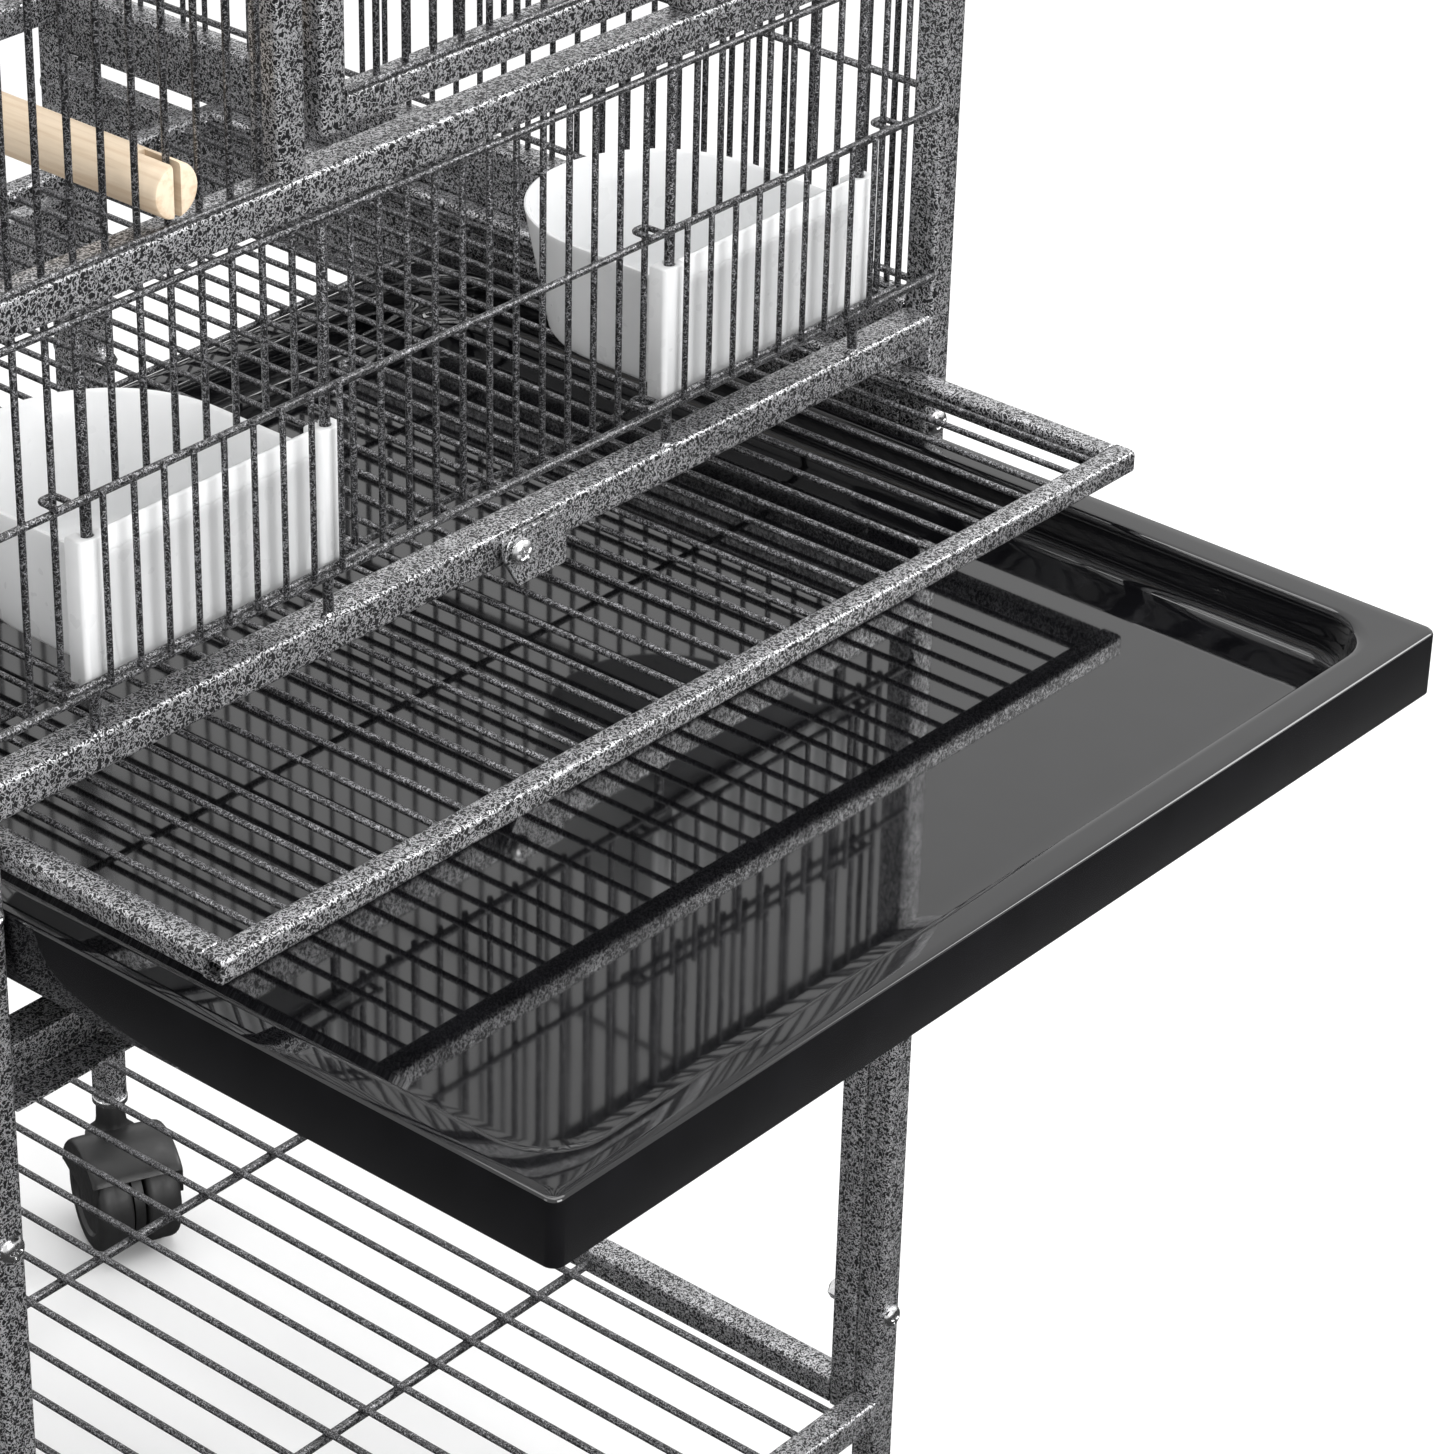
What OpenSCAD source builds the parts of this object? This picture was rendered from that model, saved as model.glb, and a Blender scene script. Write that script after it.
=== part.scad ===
// Bird cage on a wheeled stand. Millimetres, +Z up.
// The origin is on the floor, under the middle of the cage. The front faces -Y.
// Tray and grate are modelled part way out of the front, as they are while the cage is cleaned.

/* [Cage] */
// Overall width across the posts
cage_w = 448; // [440:1:470]
// Overall depth across the posts
cage_d = 446; // [440:1:470]
// Height of the roof above the floor
cage_top = 1320; // [1180:1:1480]
// Height of the underside of the bottom front rail
rail_bottom_z = 578.5; // [570:0.5:590]
// Height of the underside of the middle front rail
rail_middle_z = 724; // [715:0.5:740]
// Height of the underside of the rail over the door
rail_door_z = 1070; // [1000:1:1120]

/* [Tubes and wires] */
// Width of a post, seen from the front
post_w = 11.5; // [10:0.5:11.5]
// Depth of a post, seen from the side
post_d = 12; // [10:0.5:12]
// Height of a rail
rail_h = 12.5; // [11:0.5:13]
// Wall of the square tube
wall = 1; // [0.8:0.1:1.4]
// Diameter of a cage bar
bar_d = 2.2; // [1.8:0.1:2.2]
// Spacing of the cage bars
bar_pitch = 11.9; // [11.5:0.05:12.1]

/* [Door] */
// Width of the front door
door_w = 156; // [150:1:158]
// Width between the two door jambs
jamb_gap = 169; // [168:1:172]
// Section of the door's own tube
door_tube = 10; // [8:0.5:10]

/* [Feeders] */
// Diameter of a guide bar
guide_d = 3.4; // [3:0.1:3.4]
// Height of the wire under the feeder openings
wire_low_z = 606; // [605:0.5:607]
// Height of the wire over the feeder openings
wire_high_z = 667; // [666:0.5:670]

/* [Grate and tray] */
// Width of the grate
grate_w = 424; // [416:1:424]
// Depth of the grate
grate_depth = 436; // [420:1:436]
// Height of the grate's underside
grate_z = 562; // [562:0.5:563]
// How far the grate stands out of the front
grate_out = 88; // [0:1:200]
// Width of the tray
tray_w = 423; // [414:1:423]
// Depth of the tray
tray_depth = 436; // [420:1:436]
// Height of the tray's underside
tray_z = 525.5; // [525.5:0.5:526]
// Height of the tray
tray_h = 22.5; // [20:0.5:24]
// How far the tray stands out of the front
tray_out = 210; // [0:1:260]

/* [Stand] */
// Height of the lower shelf's top
shelf_top = 126; // [118:1:300]
// Spacing of the shelf wires
shelf_pitch = 19.8; // [15:0.1:24]
// Height of the lower end of the posts
post_foot_z = 66; // [66:1:80]
// Diameter of a caster wheel
wheel_d = 50; // [44:1:50]
// Distance of a caster's axle behind its stem
caster_trail = 17; // [14:1:20]
// Direction in which the casters trail
caster_turn = 245; // [0:5:355]

/* [Hidden] */
$fn = 48;
half_w = cage_w / 2;
half_d = cage_d / 2;
inner_x = half_w - post_w;
inner_y = half_d - post_d;
post_x = half_w - post_w / 2;
stem_y = half_d - post_d / 2;
leg_y = inner_y - post_d;
rail_bottom_top = rail_bottom_z + rail_h;
rail_middle_top = rail_middle_z + rail_h;
roof_rail_z = cage_top - rail_h;
wire = bar_d;
low_wire_d = 3;
cross_d = bar_d + 0.4;
wire_inset = 2.5;
shelf_wire_d = 3;
FULL_ROW = [-16.5 : 16.5];
PANEL_HEIGHTS = [598, 669, 830, 990, 1150, 1302];
weld = 0.3;
bar_y = -half_d + wire_inset;
wire_y = bar_y - (bar_d + wire) / 2 + weld;
cup_x = 10.5 * bar_pitch;
guide_half = 4 * bar_pitch;
door_guide_half = 5 * bar_pitch;
side_rail_z = 567;
side_rail_h = 26;
channel_z = 480;
channel_h = 23.5;
channel_d = 13.3;
sheet = 1.2;
slide_gap = 0.3;
tray_runner_h = grate_z - tray_z - 2 * sheet;
bolt_d = 5;
bolt_heights = [165, 434, 549];
jamb_x = jamb_gap / 2;
door_z = rail_middle_top + 9.5;
door_h = rail_door_z - door_z - 3;
hinge_x = (jamb_x + door_w / 2) / 2;
hinge_y = -half_d - 2;
hinge_pin_d = 3;
running = 0.05;
perch_d = 16.5;
perch_x = -11.5 * bar_pitch;
latch_x = 0;
latch_z = rail_bottom_z + 6.5;
latch_y = -half_d - 2.8;
latch_t = 1.8;
door_latch_x = -jamb_x - post_w / 2;
door_latch_z = 905;
feeder_wire_y = -half_d - 2.6;
feeder_low_z = wire_low_z + 4.5;
feeder_high_z = wire_high_z + 2.6;
cup_top = 654.5;
cup_rim = 647;
cup_r = 45.4;
cup_foot_r = 39;
cup_t = 1.8;
clip_w = 10;
clip_d = 7.2;
clip_y = bar_y - guide_d / 2 - 0.35 - 1.3;

CORNERS = [["front_left", -1, -1], ["front_right", 1, -1], ["rear_left", -1, 1], ["rear_right", 1, 1]];

// ---- shared shapes ----

// Square tube along X, from x0 to x1, with its low corner at y, z.
module tube_x(x0, x1, y, z, dy, dz) {
    difference() {
        translate([x0, y, z]) cube([x1 - x0, dy, dz]);
        translate([x0 - 1, y + wall, z + wall]) cube([x1 - x0 + 2, dy - 2 * wall, dz - 2 * wall]);
    }
}

// Square tube along Y, from y0 to y1, with its low corner at x, z.
module tube_y(y0, y1, x, z, dx, dz) {
    difference() {
        translate([x, y0, z]) cube([dx, y1 - y0, dz]);
        translate([x + wall, y0 - 1, z + wall]) cube([dx - 2 * wall, y1 - y0 + 2, dz - 2 * wall]);
    }
}

// Square tube along Z, from z0 to z1, with its low corner at x, y.
module tube_z(z0, z1, x, y, dx, dy) {
    difference() {
        translate([x, y, z0]) cube([dx, dy, z1 - z0]);
        translate([x + wall, y + wall, z0 - 1]) cube([dx - 2 * wall, dy - 2 * wall, z1 - z0 + 2]);
    }
}

module rod_x(x0, x1, y, z, d) {
    translate([x0, y, z]) rotate([0, 90, 0]) cylinder(h = x1 - x0, d = d);
}

module rod_y(y0, y1, x, z, d) {
    translate([x, y1, z]) rotate([90, 0, 0]) cylinder(h = y1 - y0, d = d);
}

module rod_z(z0, z1, x, y, d) {
    translate([x, y, z0]) cylinder(h = z1 - z0, d = d);
}

// Plan of a plate with rounded corners, centred on the origin.
module rounded(w, d, r) {
    union() {
        square([w - 2 * r, d], center = true);
        square([w, d - 2 * r], center = true);
        for (sx = [-1, 1], sy = [-1, 1])
            translate([sx * (w / 2 - r), sy * (d / 2 - r)]) circle(r = r);
    }
}

// Holes along Y for the bolts of one corner.
module corner_bolt_holes(sx, sy) {
    for (z = bolt_heights)
        translate([sx * post_x, sy * half_d, z]) rotate([90, 0, 0])
            cylinder(h = 6 * post_d, d = bolt_d, center = true);
}

// ---- frame ----

module post(sx, sy) {
    color([0.32, 0.32, 0.34]) difference() {
        tube_z(post_foot_z, cage_top, sx > 0 ? inner_x : -half_w, sy > 0 ? inner_y : -half_d, post_w, post_d);
        corner_bolt_holes(sx, sy);
    }
}

module stand_leg(sx, sy) {
    color([0.30, 0.30, 0.32]) difference() {
        tube_z(shelf_top - rail_h, side_rail_z, sx > 0 ? inner_x : -half_w,
            sy > 0 ? leg_y : -inner_y, post_w, post_d);
        corner_bolt_holes(sx, sy);
    }
}

module front_rail(z) {
    color([0.32, 0.32, 0.34]) tube_x(-inner_x, inner_x, -half_d, z, post_d, rail_h);
}

module front_rail_bottom() {
    color([0.32, 0.32, 0.34]) difference() {
        tube_x(-inner_x, inner_x, -half_d, rail_bottom_z, post_d, rail_h);
        translate([latch_x, -half_d, latch_z]) rotate([90, 0, 0]) cylinder(h = 6, d = 4, center = true);
    }
}

module front_rail_over_door() {
    color([0.32, 0.32, 0.34]) tube_x(-jamb_x, jamb_x, -half_d, rail_door_z, post_d, rail_h);
}

module back_rail(z) {
    color([0.30, 0.30, 0.32]) tube_x(-inner_x, inner_x, inner_y, z, post_d, rail_h);
}

// Channel that is open towards the outside of the stand.
module base_channel(sy) {
    color([0.30, 0.30, 0.32]) mirror([0, sy > 0 ? 1 : 0, 0]) difference() {
        translate([-inner_x, -half_d, channel_z]) cube([2 * inner_x, channel_d, channel_h]);
        translate([-inner_x - 1, -half_d - 1, channel_z + sheet])
            cube([2 * inner_x + 2, channel_d + 1 - sheet, channel_h - 2 * sheet]);
    }
}

module door_jamb(sx) {
    color([0.32, 0.32, 0.34]) difference() {
        tube_z(rail_middle_top, roof_rail_z, sx > 0 ? jamb_x : -jamb_x - post_w, -half_d, post_w, post_d);
        if (sx < 0) translate([door_latch_x, -half_d, door_latch_z]) rotate([90, 0, 0])
            cylinder(h = 6, d = 4, center = true);
    }
}

module side_rail(sx, y1, z, h) {
    color([0.30, 0.30, 0.32]) tube_y(-y1, y1, sx > 0 ? inner_x : -half_w, z, post_w, h);
}

// Angle between the stand legs whose ledge carries a sliding part, with its top at z.
module runner(sx, z, h) {
    ledge = 8.5;
    x = inner_x - ledge;
    color([0.28, 0.28, 0.30]) mirror([sx > 0 ? 0 : 1, 0, 0]) translate([x, -leg_y, z - sheet]) union() {
        cube([ledge + sheet, 2 * leg_y, sheet]);
        translate([ledge, 0, 0]) cube([sheet, 2 * leg_y, h]);
    }
}

// ---- wire work ----

// Upright bars at the places ks of the front's grid, with cross wires before them at the heights zs.
module front_grille(ks, z0, z1, zs, xa, xb) {
    color([0.26, 0.26, 0.28]) union() {
        for (k = ks) rod_z(z0, z1, k * bar_pitch, bar_y, bar_d);
        for (z = zs) rod_x(xa, xb, wire_y, z, wire);
    }
}

module front_wires_side(sx) {
    z0 = rail_middle_top;
    z1 = roof_rail_z;
    zs = [z0 + wire / 2, z0 + 170, z0 + 330, z1 - 4];
    mirror([sx > 0 ? 0 : 1, 0, 0])
        front_grille([8.5 : 16.5], z0, z1, zs, jamb_x + post_w, inner_x);
}

module front_wires_over_door() {
    z0 = rail_door_z + rail_h;
    z1 = roof_rail_z;
    front_grille([-6.5 : 6.5], z0, z1, [z0 + wire / 2, (z0 + z1) / 2, z1 - 4], -jamb_x, jamb_x);
}

// Fixed bars of the feeder band and the wires across them, welded into one piece.
module feeder_grille() {
    top = rail_middle_z;
    low_end = wire_low_z - low_wire_d / 2 - 0.4;
    high_end = wire_high_z - wire / 2 - 0.4;
    color([0.26, 0.26, 0.28]) union() {
        for (s = [-1, 1]) {
            for (k = [0.5 : 5.5]) rod_z(low_end, top, s * k * bar_pitch, bar_y, bar_d);
            for (k = [15.5 : 16.5]) rod_z(low_end, top, s * k * bar_pitch, bar_y, bar_d);
            for (k = [7.5 : 13.5]) rod_z(high_end, top, s * k * bar_pitch, bar_y, bar_d);
            for (g = [-1, 1]) rod_z(rail_bottom_top, top, s * (cup_x + g * guide_half), bar_y, guide_d);
        }
        rod_x(-inner_x, inner_x, wire_y - (low_wire_d - wire) / 2, wire_low_z, low_wire_d);
        rod_x(-inner_x, inner_x, wire_y - 0.1, wire_high_z, wire + 0.2);
        rod_x(-inner_x, inner_x, wire_y - 0.1, rail_middle_z - wire, wire + 0.2);
    }
}

module side_wires(sx) {
    z0 = side_rail_z + side_rail_h;
    x = half_w - wire_inset;
    color([0.26, 0.26, 0.28]) mirror([sx > 0 ? 0 : 1, 0, 0]) union() {
        for (k = FULL_ROW) rod_z(z0, roof_rail_z, x, k * bar_pitch, bar_d);
        for (z = PANEL_HEIGHTS)
            rod_y(-inner_y, inner_y, x - (bar_d + cross_d) / 2 + weld, z, cross_d);
    }
}

module back_wires() {
    y = half_d - wire_inset;
    color([0.26, 0.26, 0.28]) union() {
        for (k = FULL_ROW) rod_z(rail_bottom_top, roof_rail_z, k * bar_pitch, y, bar_d);
        for (z = PANEL_HEIGHTS)
            rod_x(-inner_x, inner_x, y - (bar_d + cross_d) / 2 + weld, z, cross_d);
    }
}

module roof_wires() {
    z = cage_top - wire_inset;
    color([0.26, 0.26, 0.28]) union() {
        for (k = FULL_ROW) rod_y(-inner_y, inner_y, k * bar_pitch, z, bar_d);
        for (k = [-16.5, -5.5, 5.5, 16.5])
            rod_x(-inner_x, inner_x, k * bar_pitch, z - (bar_d + cross_d) / 2 + weld, cross_d);
    }
}

// Tube frame of the shelf, between the posts.
module shelf_frame() {
    z = shelf_top - rail_h;
    color([0.30, 0.30, 0.32]) {
        for (y = [-half_d, inner_y]) tube_x(-inner_x, inner_x, y, z, post_d, rail_h);
        for (x = [-half_w, inner_x]) tube_y(-leg_y, leg_y, x, z, post_w, rail_h);
    }
}

// Wires of the shelf, front to back, on two thicker ones that lie across.
module shelf_wires() {
    n = floor(2 * inner_x / shelf_pitch);
    z = shelf_top - shelf_wire_d / 2 - 1;
    start = -shelf_pitch * (n - 1) / 2;
    color([0.28, 0.28, 0.30]) union() {
        for (i = [0 : n - 1]) rod_y(-inner_y, inner_y, start + i * shelf_pitch, z, shelf_wire_d);
        for (y = [-cage_d / 6, cage_d / 6])
            rod_x(-inner_x, inner_x, y, z - (shelf_wire_d + 4) / 2 + weld, 4);
    }
}

// ---- fittings that stay put ----

// Wooden rod with a slot across each end, clipped over one front bar and one back bar.
module perch() {
    reach = bar_d / 2 + 3;
    front = bar_y - reach;
    back = -front;
    z = rail_middle_top + 12.2;
    slot = bar_d + 0.6;
    slot_len = 14;
    color([0.87, 0.76, 0.60]) difference() {
        rod_y(front, back, perch_x, z, perch_d);
        translate([perch_x - slot / 2, front - 1, z - perch_d]) cube([slot, 1 + slot_len, 2 * perch_d]);
        translate([perch_x - slot / 2, back - slot_len, z - perch_d]) cube([slot, 30, 2 * perch_d]);
    }
}

// Pan-head bolts through each pair of tubes at the corners.
module frame_bolts() {
    color([0.80, 0.80, 0.82]) for (c = CORNERS, z = bolt_heights)
        translate([c[1] * post_x, c[2] * half_d, z]) rotate([c[2] < 0 ? 90 : -90, 0, 0]) {
            translate([0, 0, -2 * post_d - 5]) cylinder(h = 2 * post_d + 5, d = bolt_d);
            intersection() {
                cylinder(h = 3, d = 9);
                translate([0, 0, -3]) sphere(r = 6);
            }
        }
}

// Hexagon nuts on the inner ends of the bolts.
module frame_nuts() {
    color([0.78, 0.78, 0.80]) for (c = CORNERS, z = bolt_heights)
        translate([c[1] * post_x, c[2] * leg_y, z]) rotate([c[2] < 0 ? -90 : 90, 0, 0]) difference() {
            cylinder(h = 4, d = 9, $fn = 6);
            translate([0, 0, -1]) cylinder(h = 6, d = bolt_d, $fn = 48);
        }
}

// Screw, washer and stem that a turning plate hangs on.
module pivot_screw(x, z) {
    translate([x, -half_d, z]) rotate([90, 0, 0]) {
        translate([0, 0, -3]) cylinder(h = 3, d = 4);
        cylinder(h = 2.6, d = 9);
        cylinder(h = 5.2, d = 4);
        translate([0, 0, 4.9]) intersection() {
            cylinder(h = 3, d = 9);
            translate([0, 0, -3]) sphere(r = 6);
        }
    }
}

module pivot_screws() {
    color([0.80, 0.80, 0.82]) {
        pivot_screw(latch_x, latch_z);
        pivot_screw(door_latch_x, door_latch_z);
    }
}

// Turning plate, round about its screw and square at its free end.
module turn_plate(len, low, high) {
    difference() {
        union() {
            cylinder(h = latch_t, r = high);
            translate([0, -low, 0]) cube([len, low + high, latch_t]);
        }
        translate([0, 0, -1]) cylinder(h = latch_t + 2, d = 4 + 2 * running);
    }
}

module latch_plate() {
    color([0.30, 0.30, 0.32]) translate([latch_x, latch_y, latch_z]) rotate([90, 0, 0])
        turn_plate(22, 12.5, 6.5);
}

// Hangs down beside the door while the door is free, and turns up across its edge.
module door_latch() {
    color([0.30, 0.30, 0.32]) translate([door_latch_x, latch_y, door_latch_z]) rotate([90, 0, 0])
        rotate([0, 0, -90]) turn_plate(19, 5.5, 5.5);
}

// ---- door ----

module hinge_places() {
    for (z = [door_z + 45, door_z + door_h - 65]) translate([hinge_x, hinge_y, z]) children();
}

module hinge_pins() {
    color([0.55, 0.55, 0.57]) hinge_places() {
        cylinder(h = 24, d = hinge_pin_d);
        for (z = [0, 21]) difference() {
            union() {
                translate([0, 0, z]) cylinder(h = 3, d = 6.4);
                translate([0, -3.2, z]) cube([jamb_x - hinge_x + 4, 5.2, 3]);
            }
            translate([0, 0, z - 1]) cylinder(h = 5, d = hinge_pin_d - 1);
        }
    }
}

module front_door() {
    y = -half_d;
    z1 = door_z + door_h;
    half = door_w / 2;
    in = half - door_tube;
    color([0.32, 0.32, 0.34]) union() {
        for (x = [-half, in]) tube_z(door_z, z1, x, y, door_tube, door_tube);
        for (z = [door_z, z1 - door_tube]) tube_x(-in, in, y, z, door_tube, door_tube);
        for (k = [-4.5 : 4.5])
            rod_z(door_z + door_tube - 0.5, z1 - door_tube + 0.5, k * bar_pitch, bar_y, bar_d);
        for (z = [door_z + door_tube + wire / 2 - 0.1, door_z + door_h / 3, door_z + 2 * door_h / 3])
            rod_x(-in - 0.5, in + 0.5, wire_y, z, wire);
        hinge_places() translate([0, 0, 3.3]) difference() {
            union() {
                cylinder(h = 17.4, d = 6.4);
                translate([half - hinge_x, -3.2, 0]) cube([hinge_x - half, 8.2, 17.4]);
            }
            translate([0, 0, -1]) cylinder(h = 20, d = hinge_pin_d + 2 * running);
        }
    }
}

// ---- feeders ----

// Small sliding gate: two wires that loop round the guide bars, with short bars in front.
module feeder_door(sx) {
    reach = bar_d / 2 + 0.5 + wire / 2;
    front_y = feeder_wire_y - wire + 0.4;
    back_y = bar_y + reach;
    end = wire / 2 + 0.4;
    color([0.26, 0.26, 0.28]) translate([sx * cup_x, 0, 0]) union() {
        for (z = [feeder_low_z, feeder_high_z]) {
            rod_x(-door_guide_half - reach - 1.6, door_guide_half + reach + 1.6, feeder_wire_y, z, wire);
            for (s = [-1, 1]) {
                for (k = [-1, 1])
                    rod_y(feeder_wire_y, back_y + wire / 2 + 0.1, s * door_guide_half + k * reach, z, wire - 0.2);
                rod_x(s * door_guide_half - reach, s * door_guide_half + reach, back_y, z, wire - 0.4);
            }
        }
        for (k = [-4 : 4])
            rod_z(feeder_low_z - end, feeder_high_z + end, k * (bar_pitch - 0.15), front_y, bar_d - 0.2);
    }
}

// Plan of the cup: straight sides from the front wall, then a half circle.
module cup_plan(r, front, back) {
    union() {
        translate([-r, front]) square([2 * r, back - r - front]);
        translate([0, back - r]) circle(r = r, $fn = 40);
    }
}

// Clip that slides on a guide bar. Its slit faces the bird.
module cup_clip(s) {
    half = clip_w / 2;
    z0 = wire_low_z + low_wire_d / 2 + 0.3;
    translate([s * guide_half, 0, 0]) difference() {
        union() {
            translate([-half, clip_y + 1.5, z0]) cube([clip_w, clip_d - 1.5, cup_top - z0]);
            translate([1.5 - half, clip_y, z0]) cube([clip_w - 3, clip_d, cup_top - z0]);
            for (k = [-1, 1]) translate([k * (half - 1.5), clip_y + 1.5, z0]) cylinder(h = cup_top - z0, r = 1.5);
        }
        translate([0, bar_y, z0 - 1]) cylinder(h = cup_top, d = guide_d + 0.7);
        translate([-1, bar_y, z0 - 1]) cube([2, 20, cup_top]);
    }
}

module feeder_cup(sx) {
    front = -half_d + 1.8;
    back = front + 90;
    foot = wire_low_z - 2;
    foot_back = back - 9;
    wall_half = guide_half - guide_d / 2 - 0.5;
    color([0.93, 0.94, 0.95]) translate([sx * cup_x, 0, 0]) union() {
        difference() {
            hull() {
                translate([0, 0, foot]) linear_extrude(0.1) cup_plan(cup_foot_r, front, foot_back);
                translate([0, 0, cup_rim - 0.1]) linear_extrude(0.1) cup_plan(cup_r, front, back);
            }
            hull() {
                translate([0, 0, foot + cup_t]) linear_extrude(0.1)
                    cup_plan(cup_foot_r - cup_t, front + cup_t, foot_back - cup_t);
                translate([0, 0, cup_rim + 0.1]) linear_extrude(0.1)
                    cup_plan(cup_r - cup_t, front + cup_t, back - cup_t);
            }
        }
        translate([-wall_half, front, foot]) cube([2 * wall_half, cup_t, cup_top - foot]);
        for (s = [-1, 1]) cup_clip(s);
    }
}

// ---- grate and tray ----

module grate() {
    h = 8;
    frame = 8.6;
    y0 = -half_d - grate_out;
    y1 = y0 + grate_depth;
    x = grate_w / 2;
    side_gap = 1;
    pitch = (grate_w - 2 * frame - bar_d - 2 * side_gap) / 33;
    z = grate_z + h / 2 + 0.8;
    color([0.33, 0.33, 0.35]) union() {
        for (y = [y0, y1 - frame]) tube_x(-x, x, y, grate_z, frame, h);
        for (s = [-x, x - frame]) tube_y(y0 + frame, y1 - frame, s, grate_z, frame, h);
        for (k = FULL_ROW) rod_y(y0 + frame - 0.5, y1 - frame + 0.5, k * pitch, z, bar_d);
        for (y = [y0 + 150, y0 + 290]) rod_x(-x + frame - 0.5, x - frame + 0.5, y, z - bar_d + 0.3, wire + 0.2);
    }
}

module tray() {
    t = 2.2;
    rim = 13;
    corner = 4;
    basin_corner = 22;
    depth = 17;
    mid = -half_d - tray_out + tray_depth / 2;
    top = tray_z + tray_h;
    in_w = tray_w - 2 * rim;
    in_d = tray_depth - 2 * rim;
    color([0.04, 0.04, 0.045]) translate([0, mid, 0]) union() {
        difference() {
            translate([0, 0, tray_z]) linear_extrude(tray_h) rounded(tray_w, tray_depth, corner);
            translate([0, 0, tray_z - 1]) linear_extrude(tray_h + 1 - t)
                rounded(tray_w - 2 * t, tray_depth - 2 * t, corner - 1);
            translate([0, 0, top - t - 1]) linear_extrude(t + 2) rounded(in_w, in_d, basin_corner);
        }
        difference() {
            translate([0, 0, top - depth - t]) linear_extrude(depth + t)
                rounded(in_w + 2 * t, in_d + 2 * t, basin_corner + t);
            translate([0, 0, top - depth]) linear_extrude(depth + 1) rounded(in_w, in_d, basin_corner);
        }
    }
}

// ---- casters ----

module at_corner(sx, sy) {
    translate([sx * post_x, sy * stem_y, 0]) children();
}

// Stems held in the open ends of the posts, each with its collar and square plug.
module caster_stems() {
    color([0.72, 0.72, 0.74]) for (c = CORNERS) at_corner(c[1], c[2]) {
        translate([0, 0, 50]) cylinder(h = 60, d = 7);
        translate([0, 0, post_foot_z - 3]) cylinder(h = 3, d = 16);
        translate([0, 0, post_foot_z + 12]) cube([post_w - 2 * wall, post_d - 2 * wall, 24], center = true);
    }
}

// Hood that turns about its stem and carries the axle between its two wheels.
module caster_hood(sx, sy) {
    r = wheel_d / 2;
    hood_r = r + 3;
    color([0.10, 0.10, 0.11]) at_corner(sx, sy) rotate([0, 0, caster_turn]) difference() {
        union() {
            translate([caster_trail, 0, r]) rotate([90, 0, 0]) cylinder(h = 5, r = r - 3, center = true);
            intersection() {
                translate([caster_trail, 0, r]) rotate([90, 0, 0]) difference() {
                    cylinder(h = 42, r = hood_r, center = true);
                    difference() {
                        cylinder(h = 50, r = r + 1, center = true);
                        cylinder(h = 5, r = r + 2, center = true);
                    }
                }
                translate([-40, -30, r + 6]) cube([caster_trail + 40 + r - 4, 60, 60]);
            }
            translate([0, 0, r + 22]) cylinder(h = post_foot_z - 3.4 - r - 22, d = 15);
        }
        translate([0, 0, 20]) cylinder(h = 80, d = 7 + 2 * running);
        translate([caster_trail, 0, r]) rotate([90, 0, 0]) cylinder(h = 20, d = 6 + 2 * running, center = true);
        for (s = [-1, 1]) translate([caster_trail, s * 13, r]) rotate([90, 0, 0])
            cylinder(h = 20, r = r + 1, center = true);
    }
}

// Two wheels pressed on one axle.
module caster_wheels(sx, sy) {
    r = wheel_d / 2;
    width = 16;
    color([0.06, 0.06, 0.065]) at_corner(sx, sy) rotate([0, 0, caster_turn])
        translate([caster_trail, 0, r]) rotate([90, 0, 0]) union() {
            cylinder(h = 2 * width, d = 6, center = true);
            for (s = [0, 1]) mirror([0, 0, s]) translate([0, 0, 3.4]) rotate_extrude(angle = 360)
                polygon([[0, 0], [r - 2, 0], [r, 2], [r, width - 4], [r - 4, width], [r - 8, width],
                    [r - 9, width - 2], [6, width - 2], [5, width], [0, width]]);
        }
}

post(-1, -1);  // post_front_left
post(1, -1);  // post_front_right
post(-1, 1);  // post_rear_left
post(1, 1);  // post_rear_right
stand_leg(-1, -1);  // stand_leg_front_left
stand_leg(1, -1);  // stand_leg_front_right
stand_leg(-1, 1);  // stand_leg_rear_left
stand_leg(1, 1);  // stand_leg_rear_right
front_rail(roof_rail_z);  // front_rail_top
front_rail_over_door();
front_rail(rail_middle_z);  // front_rail_middle
front_rail_bottom();
base_channel(-1);  // front_base_channel
door_jamb(-1);  // door_jamb_left
door_jamb(1);  // door_jamb_right
back_rail(roof_rail_z);  // back_rail_top
back_rail(rail_bottom_z);  // back_rail_bottom
base_channel(1);  // back_base_channel
side_rail(-1, inner_y, roof_rail_z, rail_h);  // side_rail_top_left
side_rail(1, inner_y, roof_rail_z, rail_h);  // side_rail_top_right
side_rail(-1, inner_y, side_rail_z, side_rail_h);  // side_rail_base_left
side_rail(1, inner_y, side_rail_z, side_rail_h);  // side_rail_base_right
runner(-1, grate_z - slide_gap, sheet);  // grate_runner_left
runner(1, grate_z - slide_gap, sheet);  // grate_runner_right
runner(-1, tray_z - slide_gap, tray_runner_h);  // tray_runner_left
runner(1, tray_z - slide_gap, tray_runner_h);  // tray_runner_right
shelf_frame();
shelf_wires();
front_wires_side(-1);  // front_wires_left
front_wires_side(1);  // front_wires_right
front_wires_over_door();
feeder_grille();
side_wires(-1);  // side_wires_left
side_wires(1);  // side_wires_right
back_wires();
roof_wires();
perch();
frame_bolts();
frame_nuts();
pivot_screws();
hinge_pins();
caster_stems();
grate();
tray();
latch_plate();
front_door();
door_latch();
feeder_door(-1);  // feeder_door_left
feeder_door(1);  // feeder_door_right
feeder_cup(-1);  // feeder_cup_left
feeder_cup(1);  // feeder_cup_right
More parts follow.
